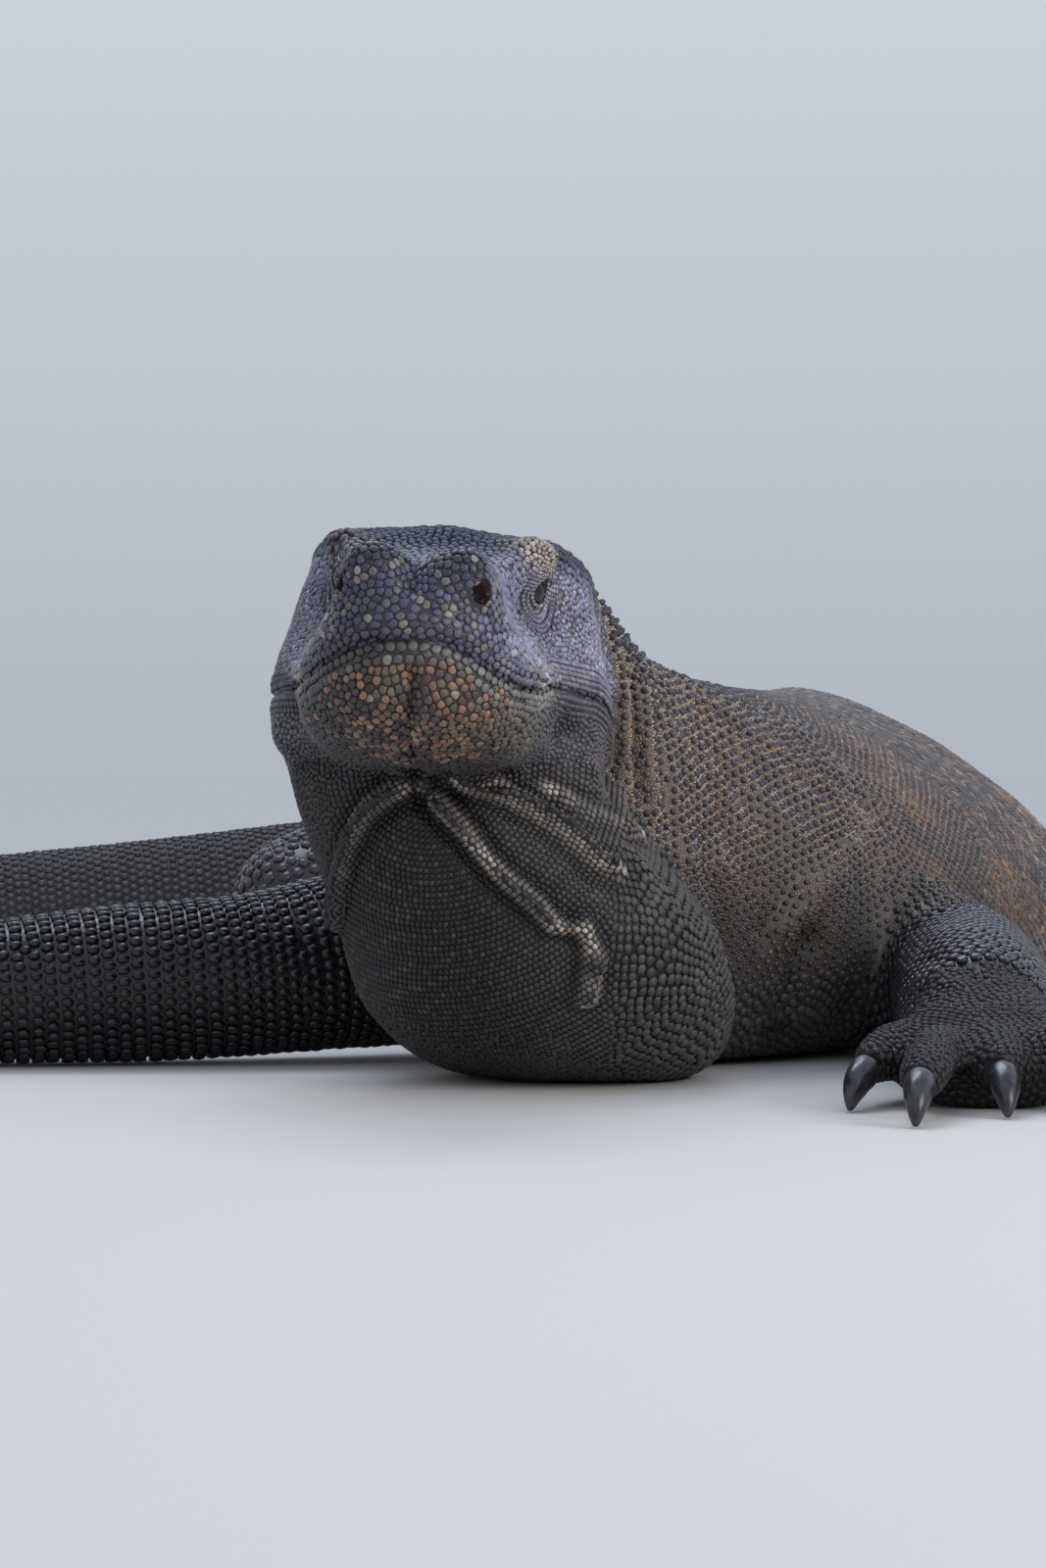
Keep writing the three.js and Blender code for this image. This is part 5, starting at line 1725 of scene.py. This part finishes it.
# piece: the solids it covers, by the start of their names, which scales, style, line and slot
COAT = {
    "scales_head": ("head", large, FINE, "head", "head_skin"),
    "scales_face": ("head", ~large, PLAIN, "head", "head_skin"),
    "scales_chin": ("lower_jaw", large, FINE, "head", "jaw_skin"),
    "scales_jaw": ("lower_jaw", ~large, PLAIN, "head", "jaw_skin"),
    "scales_throat": ("throat", everywhere, PLAIN, "throat", "throat_skin"),
    "scales_neck": ("neck", ~is_bead, MIDDLE, "body", "neck_skin"),
    "beads_nape": ("neck_front", is_bead, TINY, "body", "neck_skin"),
    "beads_neck": ("neck_rear", is_bead, TINY, "body", "neck_skin"),
    "scales_chest": ("chest", ~is_bead, PLAIN, "body", "trunk_skin"),
    "beads_chest": ("chest", is_bead, TINY, "body", "trunk_skin"),
    "scales_trunk": ("trunk", everywhere, PLAIN, "body", "trunk_skin"),
    "scales_pelvis": ("pelvis", everywhere, FAR, "body", "trunk_skin"),
    "scales_tail": ("tail", everywhere, FAR, "tail", "tail_skin"),
    "scales_arm_left": ("foreleg_left", ~is_bead & ~np.char.endswith(names, "foot"), FINE,
                        "foreleg_left", "leg_skin"),
    "beads_arm_left": ("foreleg_left", is_bead, TINY, "foreleg_left", "leg_skin"),
    "scales_hand_left": ("foreleg_left_foot", everywhere, PLAIN, "foreleg_left", "foot_skin"),
    "scales_foreleg_right": ("foreleg_right", everywhere, PLAIN, "foreleg_right", "leg_skin"),
    "scales_hindleg_left": ("hindleg_left", everywhere, FAR, "hindleg_left", "leg_skin"),
    "scales_hindleg_right": ("hindleg_right", everywhere, FAR, "hindleg_right", "leg_skin"),
}
total = 0
for label, (start, wanted, style, line, slot) in COAT.items():
    chosen = np.where(np.char.startswith(names, start) & wanted)[0]
    piece = dome_piece(label, chosen, style, fitted(unrolled(roots[chosen], LINES[line])))
    piece.data.materials.append(scale_material)
    total += len(piece.data.polygons)
    print(label, len(chosen), "scales", len(piece.data.polygons), "triangles")
print("coat", total, "triangles")

# %% [markdown]
# Claws are curved horn, dark and glossy, with fine lengthwise streaks. Each is
# the solid claw, rounded by subdivision and filled out a little, so it keeps its
# place and length.

# %% Claws
CLAW_FULLER = 0.0009
claw_material, tree, shader = new_material("claw_horn", Roughness=0.28)
made = add_nodes(tree, ("where", "TexCoord", (-1000, 0), {}, {}),
                 ("streaks", "TexNoise", (-800, 0), {}, {"Scale": 260, "Detail": 3}),
                 ("ramp", "ValToRGB", (-550, 100), {}, {}),
                 ("relief", "Bump", (-300, -250), {}, {"Strength": 0.3, "Distance": 0.0005}))
made["shader"] = shader
set_ramp(made["ramp"], (0.35, (0.012, 0.012, 0.015)), (0.75, (0.055, 0.051, 0.052)))
join_nodes(tree, made, ("where", "Object", "streaks", "Vector"), ("streaks", "Fac", "ramp", "Fac"),
           ("ramp", "Color", "shader", "Base Color"), ("streaks", "Fac", "relief", "Height"),
           ("relief", "Normal", "shader", "Normal"))
claws = [n for n in sorted(nodes) if "_claw_" in n]
for n in claws:
    claw = joined_copy([n], n.replace("_claw_", "_talon_"))
    claw.data.materials.clear()
    apply(claw, "SUBSURF", "round", levels=2, render_levels=2)
    fuller = read_points(claw) + read_normals(claw) * CLAW_FULLER
    fuller[:, 2] = np.maximum(fuller[:, 2], LOWEST_DOME)
    write_points(claw, fuller)
    claw.data.shade_smooth()
    claw.data.materials.append(claw_material)
    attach(claw, "root")
    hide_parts(n)
print("claws", len(claws))

# %% [markdown]
# A Komodo dragon's eye is dark brown with a round pupil, wet and clear in front.
# The ball is a fine sphere, and the iris is a ring of lighter brown round the
# line on which the eye looks out.

# %% Eyes
IRIS_SPAN = 0.95
eye_material, tree, shader = new_material("eye", Roughness=0.10, Specular_IOR_Level=0.42)
made = add_nodes(tree, ("tint", "Attribute", (-800, 0), {"attribute_name": "iris"}, {}),
                 ("ramp", "ValToRGB", (-550, 0), {}, {}))
made["shader"] = shader
set_ramp(made["ramp"], (0.34, (0.002, 0.002, 0.003)), (0.42, (0.018, 0.014, 0.016)),
         (0.72, (0.014, 0.010, 0.010)))
join_nodes(tree, made, ("tint", "Fac", "ramp", "Fac"), ("ramp", "Color", "shader", "Base Color"))
for side, sign in (("left", 1), ("right", -1)):
    bpy.ops.object.select_all(action="DESELECT")
    bpy.ops.mesh.primitive_uv_sphere_add(segments=48, ring_count=32, radius=EYE_RADIUS,
                                         location=eye_places[side])
    ball = bpy.context.object
    ball.name = "eyeball_" + side
    only(ball)
    bpy.ops.object.transform_apply(location=True, rotation=True, scale=True)
    ball.data.shade_smooth()
    looks = HEAD_TURN @ (EYE_LOOKS * (sign, 1, 1))
    away = read_points(ball) - np.array(eye_places[side])
    angle = np.arccos(np.clip(away @ looks / np.linalg.norm(looks) / np.linalg.norm(away, axis=1), -1, 1))
    store = ball.data.attributes.new("iris", "FLOAT", "POINT")
    store.data.foreach_set("value", (angle / IRIS_SPAN).astype(np.float32))
    ball.data.materials.append(eye_material)
    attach(ball, "root")
    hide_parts("eye_" + side)
print("eyes", EYE_RADIUS * 2000, "mm across")

# %% [markdown]
# The size of the dressed animal is kept beside that of the solids, and the
# frame checks the whole.

# %% Sizes and finish
low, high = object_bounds()
print("visual box", tuple(round(v, 3) for v in low), tuple(round(v, 3) for v in high))
